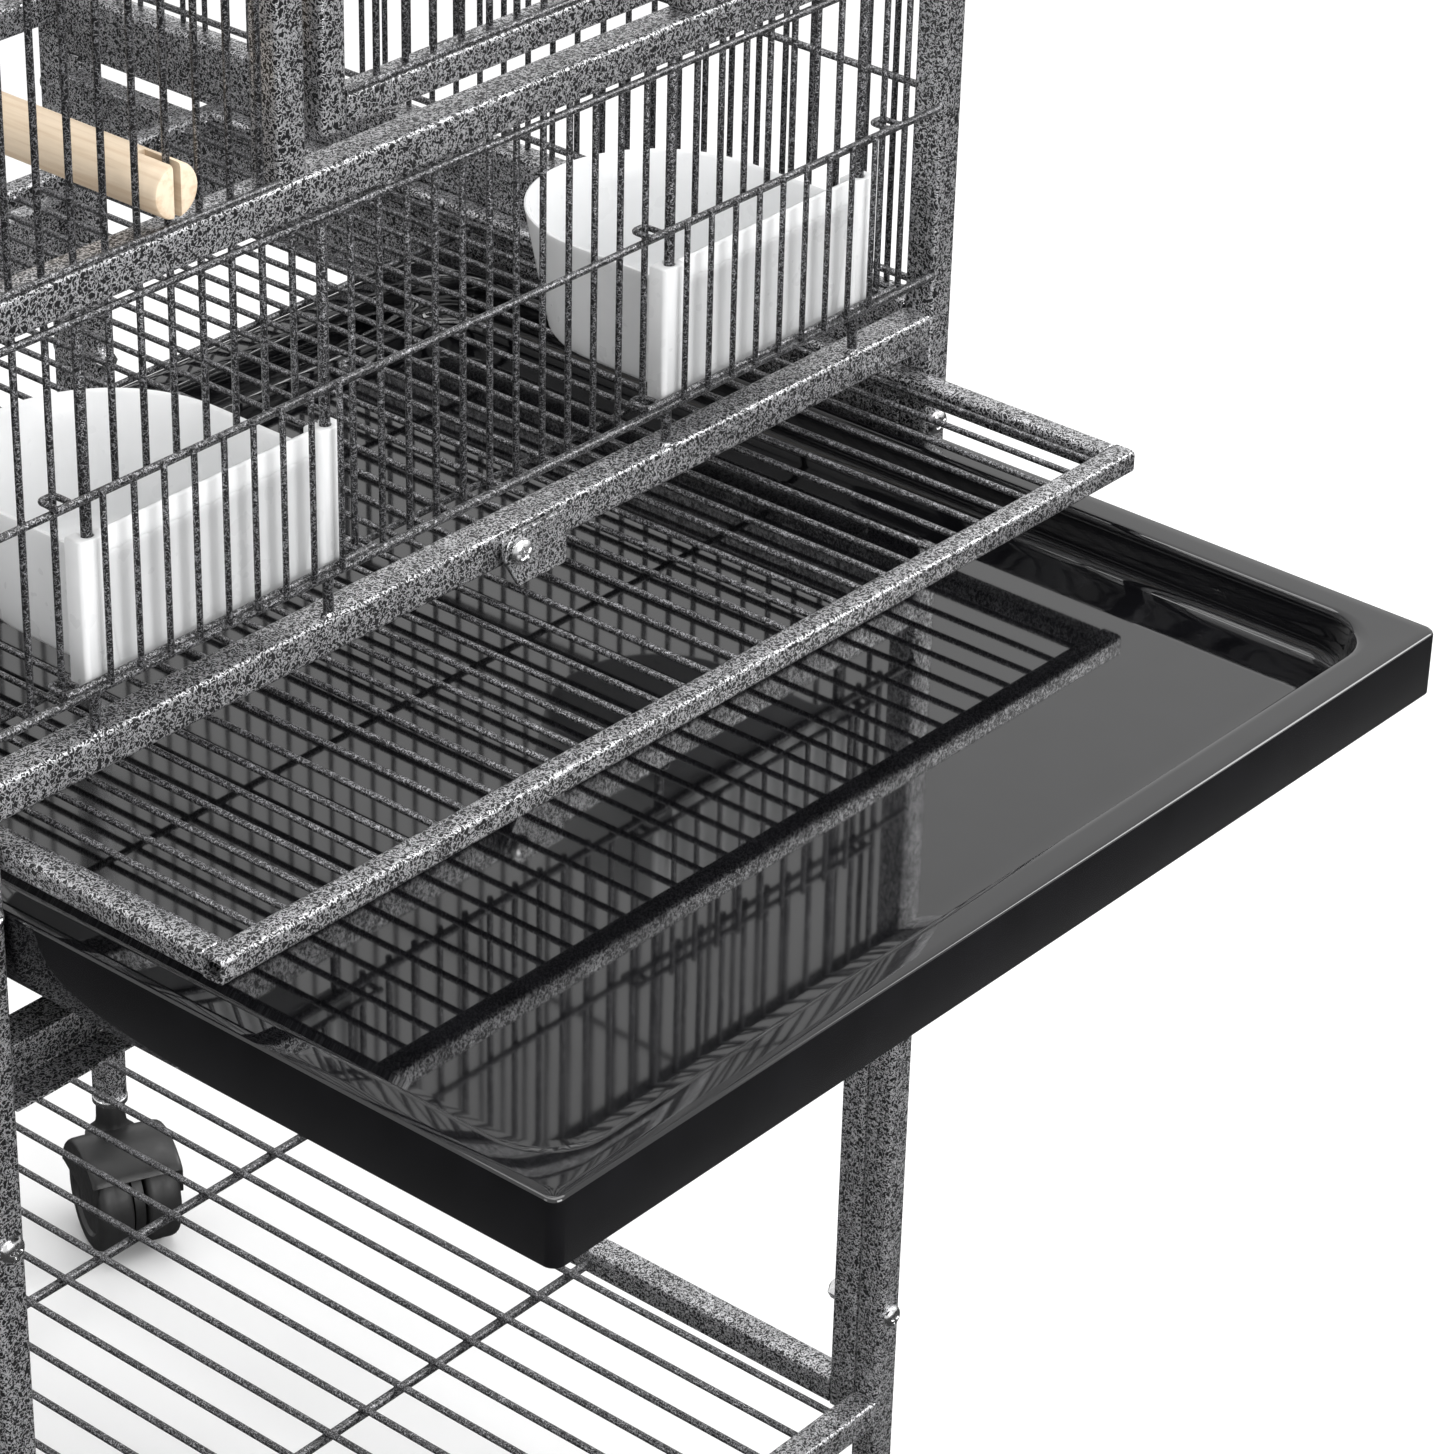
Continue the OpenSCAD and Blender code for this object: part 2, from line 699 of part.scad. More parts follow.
caster_hood(-1, -1);  // caster_hood_front_left
caster_hood(1, -1);  // caster_hood_front_right
caster_hood(-1, 1);  // caster_hood_rear_left
caster_hood(1, 1);  // caster_hood_rear_right
caster_wheels(-1, -1);  // caster_wheels_front_left
caster_wheels(1, -1);  // caster_wheels_front_right
caster_wheels(-1, 1);  // caster_wheels_rear_left
caster_wheels(1, 1);  // caster_wheels_rear_right
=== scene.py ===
import math
import random
import bpy
import bmesh
from mathutils import Matrix, Vector


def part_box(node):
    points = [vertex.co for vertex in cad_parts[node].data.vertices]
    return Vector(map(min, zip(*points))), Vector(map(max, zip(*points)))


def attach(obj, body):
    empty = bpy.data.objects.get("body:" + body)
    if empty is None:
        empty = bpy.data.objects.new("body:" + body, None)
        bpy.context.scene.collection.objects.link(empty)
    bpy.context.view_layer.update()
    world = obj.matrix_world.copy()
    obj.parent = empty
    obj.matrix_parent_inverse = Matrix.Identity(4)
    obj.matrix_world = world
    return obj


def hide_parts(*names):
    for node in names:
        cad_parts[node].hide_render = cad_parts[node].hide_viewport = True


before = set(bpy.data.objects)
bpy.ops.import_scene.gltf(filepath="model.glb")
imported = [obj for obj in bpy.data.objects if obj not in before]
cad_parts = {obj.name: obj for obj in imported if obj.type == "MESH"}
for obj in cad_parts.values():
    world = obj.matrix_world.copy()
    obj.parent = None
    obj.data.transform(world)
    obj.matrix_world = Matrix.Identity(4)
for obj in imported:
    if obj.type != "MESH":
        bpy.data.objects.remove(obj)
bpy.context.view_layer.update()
random.seed(11)
MM = 0.001

# ---- measures shared with the part, in millimetres ----
HALF_W, HALF_D = 224.0, 223.0
POST_W, POST_D = 11.5, 12.0
INNER_X, INNER_Y = HALF_W - POST_W, HALF_D - POST_D
POST_X, STEM_Y = HALF_W - POST_W / 2, HALF_D - POST_D / 2
LEG_Y = INNER_Y - POST_D
RAIL_H = 12.5
BAR_D, GUIDE_D, LOW_D, CROSS_D = 2.2, 3.4, 3.0, 2.6
PITCH = 11.9
CAGE_TOP = 1320.0
ROOF_Z = CAGE_TOP - RAIL_H
BOTTOM_Z, MIDDLE_Z, DOOR_RAIL_Z = 578.5, 724.0, 1070.0
BOTTOM_TOP, MIDDLE_TOP = BOTTOM_Z + RAIL_H, MIDDLE_Z + RAIL_H
SHELF_TOP, SHELF_PITCH, SHELF_D, BRACE_D = 126.0, 19.8, 3.0, 4.0
BOLT_Z = (165, 434, 549)
JAMB_X = 84.5
INSET, LAP = 2.5, 0.3  # bars behind the outer face, wires sunk into bars
BAR_Y = -HALF_D + INSET
WIRE_Y = BAR_Y - BAR_D + LAP
BAND_D = 2.4
CUP_X, GUIDE_HALF, GATE_HALF = 10.5 * PITCH, 4 * PITCH, 5 * PITCH
WIRE_LOW, WIRE_HIGH = 606.0, 667.0
ROW = [k + 0.5 for k in range(-17, 17)]
PANEL_Z = [598, 669, 830, 990, 1150, 1302]


# ---- mesh building ----

class Build:
    """Collects shells in millimetres and turns them into one piece."""

    def __init__(self):
        self.verts, self.faces, self.slots = [], [], []

    def add(self, verts, faces, slot=0, place=None):
        """Adds one shell, moved by place when it is given."""
        base = len(self.verts)
        for v in verts:
            v = Vector(v)
            self.verts.append(place @ v if place else v)
        self.faces += [[i + base for i in f] for f in faces]
        self.slots += [slot] * len(faces)

    def loft(self, loops, slot=0, place=None, cap_start=True, cap_end=True, closed=False):
        """Skins a row of loops that all have the same number of points."""
        n = len(loops[0])
        verts = [p for loop in loops for p in loop]
        faces = []
        rows = len(loops)
        for r in range(rows if closed else rows - 1):
            a, b = r * n, ((r + 1) % rows) * n
            for i in range(n):
                j = (i + 1) % n
                faces.append([a + i, a + j, b + j, b + i])
        if not closed and cap_start:
            faces.append(list(range(n))[::-1])
        if not closed and cap_end:
            faces.append([(rows - 1) * n + i for i in range(n)])
        self.add(verts, faces, slot, place)

    def rod(self, p0, p1, d, n=12, slot=0, round_end=0.35):
        """Round bar between two points, its ends slightly rounded."""
        p0, p1 = Vector(p0), Vector(p1)
        length = (p1 - p0).length
        turn = (p1 - p0).to_track_quat("Z", "Y").to_matrix().to_4x4()
        place = Matrix.Translation(p0) @ turn
        r, c = d / 2, min(round_end, length / 4)
        rings = [(r - c, 0), (r - c * 0.3, c * 0.3), (r, c),
                 (r, length - c), (r - c * 0.3, length - c * 0.3), (r - c, length)]
        loops = [[(q * math.cos(t), q * math.sin(t), z) for t in angles(n)] for q, z in rings]
        self.loft(loops, slot, place)

    def lathe(self, profile, n=32, slot=0, place=None, closed=False):
        """Revolves (radius, height) pairs about local Z."""
        loops = [[(max(r, 0.01) * math.cos(t), max(r, 0.01) * math.sin(t), z) for t in angles(n)] for r, z in profile]
        self.loft(loops, slot, place, closed=closed)

    def blob(self, c, rx, ry, rz, n=8, rows=5, slot=0):
        """Small ellipsoid, the bead of a weld."""
        loops = []
        for i in range(rows):
            a = math.pi * (i + 0.5) / rows
            loops.append([(c[0] + rx * math.sin(a) * math.cos(t), c[1] + ry * math.sin(a) * math.sin(t),
                           c[2] - rz * math.cos(a)) for t in angles(n)])
        self.loft(loops, slot)

    def tube(self, lo, hi, axis, wall=1.0, r=1.7, slot=0):
        """Rounded square tube with open ends between two corners."""
        u, v = [i for i in range(3) if i != axis]
        cu, cv = (lo[u] + hi[u]) / 2, (lo[v] + hi[v]) / 2
        du, dv = hi[u] - lo[u], hi[v] - lo[v]

        def loop(inset, radius, w):
            out = []
            for x, y in rounded(du - 2 * inset, dv - 2 * inset, radius, 4):
                p = [0, 0, 0]
                p[u], p[v], p[axis] = cu + x, cv + y, w
                out.append(p)
            return out
        a, b, e = lo[axis], hi[axis], 0.25
        loops = [loop(0.25, r, a), loop(0, r, a + e), loop(0, r, b - e), loop(0.25, r, b),
                 loop(wall, max(r - wall, 0.5), b), loop(wall, max(r - wall, 0.5), b - 9),
                 loop(wall, max(r - wall, 0.5), a + 9), loop(wall, max(r - wall, 0.5), a)]
        self.loft(loops[:6], slot, cap_start=False)
        self.loft([loops[0], loops[7], loops[6]], slot, cap_start=False)

    def prism(self, pts, z0, z1, place=None, slot=0, bevel=0.3):
        """Extrudes an outline, with a small chamfer at both ends."""
        cx = sum(p[0] for p in pts) / len(pts)
        cy = sum(p[1] for p in pts) / len(pts)
        size = max(max(abs(p[0] - cx), abs(p[1] - cy)) for p in pts)
        k = 1 - bevel / size
        inner = [(cx + (x - cx) * k, cy + (y - cy) * k) for x, y in pts]
        rings = [(inner, z0), (pts, z0 + bevel), (pts, z1 - bevel), (inner, z1)]
        self.loft([[(x, y, z) for x, y in ring] for ring, z in rings], slot, place)

    def sweep(self, points, d, n=10, slot=0, closed=False):
        """Round wire along a path."""
        pts = [Vector(p) for p in points]
        loops, side = [], None
        count = len(pts)
        for i, p in enumerate(pts):
            nxt = pts[(i + 1) % count] if closed or i < count - 1 else p
            prv = pts[i - 1] if closed or i > 0 else p
            t = (nxt - prv).normalized()
            if side is None:
                side = t.orthogonal().normalized()
            side = (side - t * side.dot(t)).normalized()
            up = t.cross(side)
            loops.append([p + (side * math.cos(a) + up * math.sin(a)) * d / 2 for a in angles(n)])
        self.loft(loops, slot, closed=closed)

    def make(self, name, mats, body, nodes, slot, sharp=35, bevel=0):
        """Links the piece, rides it on its body and lets it stand for its CAD nodes."""
        mesh = bpy.data.meshes.new(name)
        bm = bmesh.new()
        vs = [bm.verts.new(v * MM) for v in self.verts]
        for f, s in zip(self.faces, self.slots):
            face = bm.faces.new([vs[i] for i in f])
            face.material_index = s
            face.smooth = True
        bmesh.ops.recalc_face_normals(bm, faces=bm.faces)
        bm.to_mesh(mesh)
        bm.free()
        mesh.set_sharp_from_angle(angle=math.radians(sharp))
        obj = bpy.data.objects.new(name, mesh)
        bpy.context.collection.objects.link(obj)
        for m in mats if isinstance(mats, (list, tuple)) else [mats]:
            mesh.materials.append(m)
        if bevel:
            mod = obj.modifiers.new("edges", "BEVEL")
            mod.width = bevel * MM
            mod.segments = 2
            mod.limit_method = "ANGLE"
            mod.angle_limit = math.radians(40)
            mod.harden_normals = True
        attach(obj, body)
        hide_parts(*nodes)


def angles(n):
    return [2 * math.pi * i / n for i in range(n)]


def rounded(w, d, r, n=5):
    """Points round a rectangle with rounded corners."""
    r = max(min(r, w / 2 - 0.01, d / 2 - 0.01), 0.01)
    out = []
    for i, (sx, sy) in enumerate([(1, 1), (-1, 1), (-1, -1), (1, -1)]):
        for j in range(n + 1):
            a = math.pi / 2 * (i + j / n)
            out.append((sx * (w / 2 - r) + r * math.cos(a), sy * (d / 2 - r) + r * math.sin(a)))
    return out


# ---- materials ----

class Mat:
    """A principled material with short calls for its procedural inputs."""

    def __init__(self, name):
        self.mat = bpy.data.materials.new(name)
        self.mat.use_nodes = True
        self.nt = self.mat.node_tree
        self.bsdf = self.nt.nodes["Principled BSDF"]
        self.coord = self.nt.nodes.new("ShaderNodeTexCoord").outputs["Object"]

    def set(self, **values):
        for key, value in values.items():
            self.bsdf.inputs[key.replace("_", " ")].default_value = value

    def node(self, kind, **props):
        n = self.nt.nodes.new(kind)
        for k, v in props.items():
            setattr(n, k, v)
        return n

    def link(self, a, b):
        self.nt.links.new(a, b)

    def scaled(self, scale):
        n = self.node("ShaderNodeMapping")
        n.inputs["Scale"].default_value = scale
        self.link(self.coord, n.inputs["Vector"])
        return n.outputs[0]

    def noise(self, scale, detail=2.0, rough=0.5, vector=None, distort=0.0):
        n = self.node("ShaderNodeTexNoise")
        n.inputs["Scale"].default_value = scale
        n.inputs["Detail"].default_value = detail
        n.inputs["Roughness"].default_value = rough
        n.inputs["Distortion"].default_value = distort
        self.link(vector or self.coord, n.inputs["Vector"])
        return n.outputs["Fac"]

    def ramp(self, fac, stops):
        n = self.node("ShaderNodeValToRGB")
        el = n.color_ramp.elements
        while len(el) < len(stops):
            el.new(0.5)
        for e, (pos, col) in zip(el, stops):
            e.position = pos
            e.color = (*col, 1) if isinstance(col, (list, tuple)) else (col, col, col, 1)
        self.link(fac, n.inputs[0])
        return n.outputs[0]

    def math(self, op, a, b):
        n = self.node("ShaderNodeMath", operation=op)
        for sock, v in zip(n.inputs, (a, b)):
            if isinstance(v, (int, float)):
                sock.default_value = v
            else:
                self.link(v, sock)
        return n.outputs[0]

    def mix(self, fac, a, b):
        n = self.node("ShaderNodeMix", data_type="RGBA")
        self.link(fac, n.inputs[0])
        for sock, v in ((n.inputs[6], a), (n.inputs[7], b)):
            if isinstance(v, (list, tuple)):
                sock.default_value = (*v, 1)
            else:
                self.link(v, sock)
        return n.outputs[2]

    def bump(self, height, strength, distance):
        n = self.node("ShaderNodeBump")
        n.inputs["Strength"].default_value = strength
        n.inputs["Distance"].default_value = distance
        self.link(height, n.inputs["Height"])
        self.link(n.outputs[0], self.bsdf.inputs["Normal"])


def vein_coat(name, scale, silver, dark, width, rough):
    """Black enamel with fine worm-like silver veins."""
    m = Mat(name)
    worm = m.noise(scale, 1.5, 0.55, distort=0.6)
    patch = m.noise(scale / 9, 2.0)
    core, edge = width * 0.5, width * 2.1
    veins = m.ramp(worm, [(0.5 - edge, 0.0), (0.5 - core, 1.0), (0.5 + core, 1.0), (0.5 + edge, 0.0)])
    shade = m.ramp(patch, [(0.3, 0.62), (0.7, 1.0)])
    amount = m.math("MULTIPLY", veins, shade)
    m.link(m.mix(amount, dark, silver), m.bsdf.inputs["Base Color"])
    m.link(m.ramp(amount, [(0.0, 0.15), (1.0, 0.9)]), m.bsdf.inputs["Metallic"])
    m.link(m.ramp(amount, [(0.0, rough), (1.0, rough - 0.1)]), m.bsdf.inputs["Roughness"])
    m.set(Coat_Weight=0.4, Coat_Roughness=0.16)
    m.bump(amount, 0.35, 0.00025)
    return m.mat


frame_coat = vein_coat("hammered_frame_coat", 760, (0.86, 0.86, 0.88), (0.006, 0.006, 0.007), 0.036, 0.38)
wire_coat = vein_coat("hammered_wire_coat", 900, (0.50, 0.50, 0.52), (0.008, 0.008, 0.009), 0.020, 0.40)


def glossy_black():
    m = Mat("glossy_black_plastic")
    fine = m.noise(55, 3)
    m.link(m.ramp(fine, [(0.3, (0.0025, 0.0025, 0.003)), (0.7, (0.005, 0.005, 0.006))]), m.bsdf.inputs["Base Color"])
    m.link(m.ramp(m.noise(20, 4), [(0.3, 0.03), (0.75, 0.06)]), m.bsdf.inputs["Roughness"])
    m.set(Coat_Weight=0.6, Coat_Roughness=0.03, IOR=1.5)
    m.bump(m.noise(14, 2), 0.08, 0.0008)
    return m.mat


def milky_white():
    m = Mat("milky_white_plastic")
    cloud = m.noise(40, 3)
    m.link(m.ramp(cloud, [(0.3, (0.84, 0.85, 0.855)), (0.7, (0.90, 0.905, 0.91))]), m.bsdf.inputs["Base Color"])
    m.link(m.ramp(m.noise(120, 2), [(0.3, 0.26), (0.7, 0.36)]), m.bsdf.inputs["Roughness"])
    m.set(Subsurface_Weight=0.35, Subsurface_Scale=0.006, Subsurface_Radius=(1.0, 1.0, 1.0))
    m.set(IOR=1.46, Coat_Weight=0.15)
    m.bump(m.noise(90, 2), 0.12, 0.0004)
    return m.mat


def wood(name, light, dark):
    m = Mat(name)
    grain = m.noise(1.0, 6, 0.6, vector=m.scaled((420, 16, 420)))
    rings = m.noise(1.0, 2, 0.5, vector=m.scaled((90, 5, 90)), distort=1.2)
    fac = m.math("ADD", m.math("MULTIPLY", grain, 0.65), m.math("MULTIPLY", rings, 0.35))
    pale = [min(1, c * 1.1) for c in light]
    m.link(m.ramp(fac, [(0.34, dark), (0.52, light), (0.7, pale)]), m.bsdf.inputs["Base Color"])
    m.link(m.ramp(grain, [(0.3, 0.62), (0.7, 0.48)]), m.bsdf.inputs["Roughness"])
    m.bump(grain, 0.25, 0.0003)
    return m.mat


def bright_steel():
    m = Mat("bright_zinc")
    spangle = m.noise(260, 3)
    m.link(m.ramp(spangle, [(0.3, (0.60, 0.60, 0.61)), (0.7, (0.80, 0.80, 0.80))]), m.bsdf.inputs["Base Color"])
    m.link(m.ramp(m.noise(500, 2), [(0.3, 0.16), (0.7, 0.30)]), m.bsdf.inputs["Roughness"])
    m.set(Metallic=1.0)
    m.bump(spangle, 0.1, 0.0002)
    return m.mat


def moulded_black(name, low, high, rough):
    m = Mat(name)
    cool = (high, high, high * 1.04)
    m.link(m.ramp(m.noise(30, 3), [(0.3, (low, low, low)), (0.7, cool)]), m.bsdf.inputs["Base Color"])
    m.link(m.ramp(m.noise(300, 3), [(0.3, rough), (0.7, rough + 0.12)]), m.bsdf.inputs["Roughness"])
    m.bump(m.noise(1400, 2), 0.12, 0.00015)
    return m.mat


tray_black = glossy_black()
cup_white = milky_white()
perch_wood = wood("pale_sanded_wood", (0.76, 0.62, 0.46), (0.60, 0.44, 0.29))
slot_wood = wood("cut_wood", (0.62, 0.29, 0.09), (0.40, 0.16, 0.05))
steel = bright_steel()
hood_black = moulded_black("satin_black_plastic", 0.012, 0.020, 0.34)
wheel_black = moulded_black("wheel_black_plastic", 0.014, 0.024, 0.40)


# ---- frame tubes ----

def in_mm(node):
    lo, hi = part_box(node)
    return [c / MM for c in lo], [c / MM for c in hi]


TUBES = ["post_front_left", "post_front_right", "post_rear_left", "post_rear_right",
         "stand_leg_front_left", "stand_leg_front_right", "stand_leg_rear_left", "stand_leg_rear_right",
         "front_rail_top", "front_rail_over_door", "front_rail_middle", "front_rail_bottom",
         "door_jamb_left", "door_jamb_right", "back_rail_top", "back_rail_bottom",
         "side_rail_top_left", "side_rail_top_right", "side_rail_base_left", "side_rail_base_right"]
for node in TUBES:
    lo, hi = in_mm(node)
    axis = max(range(3), key=lambda i: hi[i] - lo[i])
    b = Build()
    b.tube(lo, hi, axis)
    if node.startswith("post"):
        cx, cy = (lo[0] + hi[0]) / 2, (lo[1] + hi[1]) / 2
        cap = rounded(POST_W - 2.1, POST_D - 2.1, 0.6)
        b.prism([(cx + x, cy + y) for x, y in cap], hi[2] - 4, hi[2] - 0.1, slot=1, bevel=0.4)
    if node == "front_rail_bottom":
        for s in (-1, 1):
            for g in (-1, 1):
                x = s * (CUP_X + g * GUIDE_HALF)
                b.blob((x, BAR_Y, hi[2] + 0.3), 3.1, 2.4, 1.5, n=12)
                b.blob((x - 1.6 * g, BAR_Y - 1.6, hi[2] + 0.2), 1.7, 1.2, 1.1, n=10)
    b.make("tube." + node, [frame_coat, hood_black], "cage_frame", [node], "frame_coat")

for node in ("front_base_channel", "back_base_channel", "grate_runner_left", "grate_runner_right",
             "tray_runner_left", "tray_runner_right", "hinge_pins"):
    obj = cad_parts[node]
    obj.data.materials.clear()
    obj.data.materials.append(frame_coat)
    weld = obj.modifiers.new("join", "WELD")
    weld.merge_threshold = 0.00001
    mod = obj.modifiers.new("edges", "BEVEL")
    mod.width = 0.0003
    mod.segments = 2
    mod.limit_method = "ANGLE"
    mod.angle_limit = math.radians(50)

b = Build()
z = SHELF_TOP - RAIL_H
for y in (-HALF_D, INNER_Y):
    b.tube((-INNER_X, y, z), (INNER_X, y + POST_D, z + RAIL_H), 0)
for x in (-HALF_W, INNER_X):
    b.tube((x, -LEG_Y, z), (x + POST_W, LEG_Y, z + RAIL_H), 1)
b.make("shelf.frame", frame_coat, "cage_frame", ["shelf_frame"], "frame_coat")


# ---- wire work ----

def wiggle(amount=0.16):
    """How far a hand welded bar is off its place."""
    return random.uniform(-amount, amount)


def front_panel(b, ks, z0, z1, zs, xa, xb):
    """Bars at ks pitches between z0 and z1, with wires before them at zs."""
    for k in ks:
        dx = wiggle()
        b.rod((k * PITCH + dx, BAR_Y, z0), (k * PITCH + wiggle(), BAR_Y, z1), BAR_D)
        b.blob((k * PITCH, BAR_Y, z0 + 0.1), 1.7, 1.6, 0.9, n=8, rows=4)
        for zz in zs:
            b.blob((k * PITCH + dx, (BAR_Y + WIRE_Y) / 2, zz), 1.25, 0.9, 1.25, n=6, rows=3)
    for zz in zs:
        b.rod((xa, WIRE_Y, zz), (xb, WIRE_Y, zz), BAR_D)


for side, s in (("left", -1), ("right", 1)):
    b = Build()
    zs = [MIDDLE_TOP + BAR_D / 2, MIDDLE_TOP + 170, MIDDLE_TOP + 330, ROOF_Z - 4]
    ks = [s * (k + 0.5) for k in range(8, 17)]
    xa, xb = sorted((s * (JAMB_X + POST_W), s * INNER_X))
    front_panel(b, ks, MIDDLE_TOP, ROOF_Z, zs, xa, xb)
    b.make("bars.front_" + side, wire_coat, "cage_frame", ["front_wires_" + side], "wire_coat")

b = Build()
z0 = DOOR_RAIL_Z + RAIL_H
zs = [z0 + BAR_D / 2, (z0 + ROOF_Z) / 2, ROOF_Z - 4]
front_panel(b, [k + 0.5 for k in range(-7, 7)], z0, ROOF_Z, zs, -JAMB_X, JAMB_X)
b.make("bars.over_door", wire_coat, "cage_frame", ["front_wires_over_door"], "wire_coat")

# the band with the feeders: over each opening the bars end at the upper wire
b = Build()
low_y = WIRE_Y - 0.4
for s in (-1, 1):
    for k in [k for k in ROW if k > 0]:
        x = s * k * PITCH
        beside, over = k < 6 or k > 15, 7 < k < 14
        if not beside and not over:
            continue
        z0 = WIRE_LOW - 1.9 if beside else WIRE_HIGH - 1.5
        b.rod((x + wiggle(0.1), BAR_Y, z0), (x, BAR_Y, MIDDLE_Z), BAR_D)
        for zz in [WIRE_HIGH, MIDDLE_Z - BAR_D] + ([WIRE_LOW] if beside else []):
            b.blob((x, (BAR_Y + WIRE_Y) / 2, zz), 1.3, 0.9, 1.3, n=6, rows=3)
    for g in (-1, 1):
        x = s * (CUP_X + g * GUIDE_HALF)
        b.rod((x, BAR_Y, BOTTOM_TOP), (x, BAR_Y, MIDDLE_Z), GUIDE_D, n=16)
        for zz in (WIRE_LOW, WIRE_HIGH):
            b.blob((x, BAR_Y - 1.2, zz), 1.9, 1.1, 1.5, n=8, rows=4)
b.rod((-INNER_X, low_y, WIRE_LOW), (INNER_X, low_y, WIRE_LOW), LOW_D, n=14)
for zz in (WIRE_HIGH, MIDDLE_Z - BAR_D):
    b.rod((-INNER_X, WIRE_Y - 0.1, zz), (INNER_X, WIRE_Y - 0.1, zz), BAND_D)
b.make("bars.feeder_band", wire_coat, "cage_frame", ["feeder_grille"], "wire_coat")

for side, s in (("left", -1), ("right", 1)):
    b = Build()
    x = s * (HALF_W - INSET)
    xc = s * (HALF_W - INSET - (BAR_D + CROSS_D) / 2 + LAP)
    for k in ROW:
        dy = wiggle()
        b.rod((x, k * PITCH + dy, 593), (x, k * PITCH + wiggle(), ROOF_Z), BAR_D)
        for zz in PANEL_Z:
            b.blob(((x + xc) / 2, k * PITCH + dy, zz), 0.9, 1.3, 1.3, n=6, rows=3)
    for zz in PANEL_Z:
        b.rod((xc, -INNER_Y, zz), (xc, INNER_Y, zz), CROSS_D)
    b.make("bars.side_" + side, wire_coat, "cage_frame", ["side_wires_" + side], "wire_coat")

b = Build()
y = HALF_D - INSET
yc = y - (BAR_D + CROSS_D) / 2 + LAP
for k in ROW:
    dx = wiggle()
    b.rod((k * PITCH + dx, y, BOTTOM_TOP), (k * PITCH + wiggle(), y, ROOF_Z), BAR_D)
    for zz in PANEL_Z:
        b.blob((k * PITCH + dx, (y + yc) / 2, zz), 1.3, 0.9, 1.3, n=6, rows=3)
for zz in PANEL_Z:
    b.rod((-INNER_X, yc, zz), (INNER_X, yc, zz), CROSS_D)
b.make("bars.back", wire_coat, "cage_frame", ["back_wires"], "wire_coat")

b = Build()
z = CAGE_TOP - INSET
zc = z - (BAR_D + CROSS_D) / 2 + LAP
cross = [k * PITCH for k in (-16.5, -5.5, 5.5, 16.5)]
for k in ROW:
    dx = wiggle()
    b.rod((k * PITCH + dx, -INNER_Y, z), (k * PITCH + wiggle(), INNER_Y, z), BAR_D)
    for yy in cross:
        b.blob((k * PITCH + dx, yy, (z + zc) / 2), 1.3, 1.3, 0.9, n=6, rows=3)
for yy in cross:
    b.rod((-INNER_X, yy, zc), (INNER_X, yy, zc), CROSS_D)
b.make("bars.roof", wire_coat, "cage_frame", ["roof_wires"], "wire_coat")

b = Build()
count = int(2 * INNER_X / SHELF_PITCH)
z = SHELF_TOP - SHELF_D / 2 - 1
braces = (-HALF_D / 3, HALF_D / 3)
for i in range(count):
    x = -SHELF_PITCH * (count - 1) / 2 + SHELF_PITCH * i
    b.rod((x, -INNER_Y, z), (x, INNER_Y, z), SHELF_D, n=14)
    for yy in braces:
        b.blob((x, yy, z - 1.6), 1.7, 1.7, 1.0, n=8, rows=4)
for yy in braces:
    b.rod((-INNER_X, yy, z - 3.2), (INNER_X, yy, z - 3.2), BRACE_D, n=14)
b.make("shelf.wires", wire_coat, "cage_frame", ["shelf_wires"], "wire_coat")


# ---- perch ----

b = Build()
PERCH_X, PERCH_Z, PERCH_R = -11.5 * PITCH, MIDDLE_TOP + 12.2, 8.25
reach = BAR_D / 2 + 3
front, back, half_slot, slot_len = BAR_Y - reach, -(BAR_Y - reach), 1.4, 14
turn = Matrix.Translation((PERCH_X, 0, PERCH_Z)) @ Matrix.Rotation(-math.pi / 2, 4, "X")
b.lathe([(PERCH_R * 0.6, front + slot_len), (PERCH_R, front + slot_len), (PERCH_R, back - slot_len),
         (PERCH_R * 0.6, back - slot_len)], n=48, place=turn)
for tip, root in ((front, front + slot_len + 0.1), (back, back - slot_len - 0.1)):
    d = 1 if root > tip else -1
    for s in (-1, 1):
        a0 = math.acos(half_slot / PERCH_R)
        arc = [-a0 + 2 * a0 * i / 24 for i in range(25)]
        loops = []
        for inset, pos in ((1.1, 0), (0.35, 0.35), (0, 1.1), (0, slot_len + 0.1)):
            q = PERCH_R - inset
            loops.append([(PERCH_X + s * max(q * math.cos(a), half_slot), tip + d * pos, PERCH_Z + q * math.sin(a))
                          for a in arc])
        b.loft(loops)
    b.add([(PERCH_X - half_slot, root, PERCH_Z - PERCH_R + 0.1), (PERCH_X + half_slot, root, PERCH_Z - PERCH_R + 0.1),
           (PERCH_X + half_slot, root, PERCH_Z + PERCH_R - 0.1), (PERCH_X - half_slot, root, PERCH_Z + PERCH_R - 0.1)],
          [[0, 1, 2, 3]], slot=1)
b.make("perch.rod", [perch_wood, slot_wood], "cage_frame", ["perch"], "perch_wood")


# ---- screws, nuts, plates ----

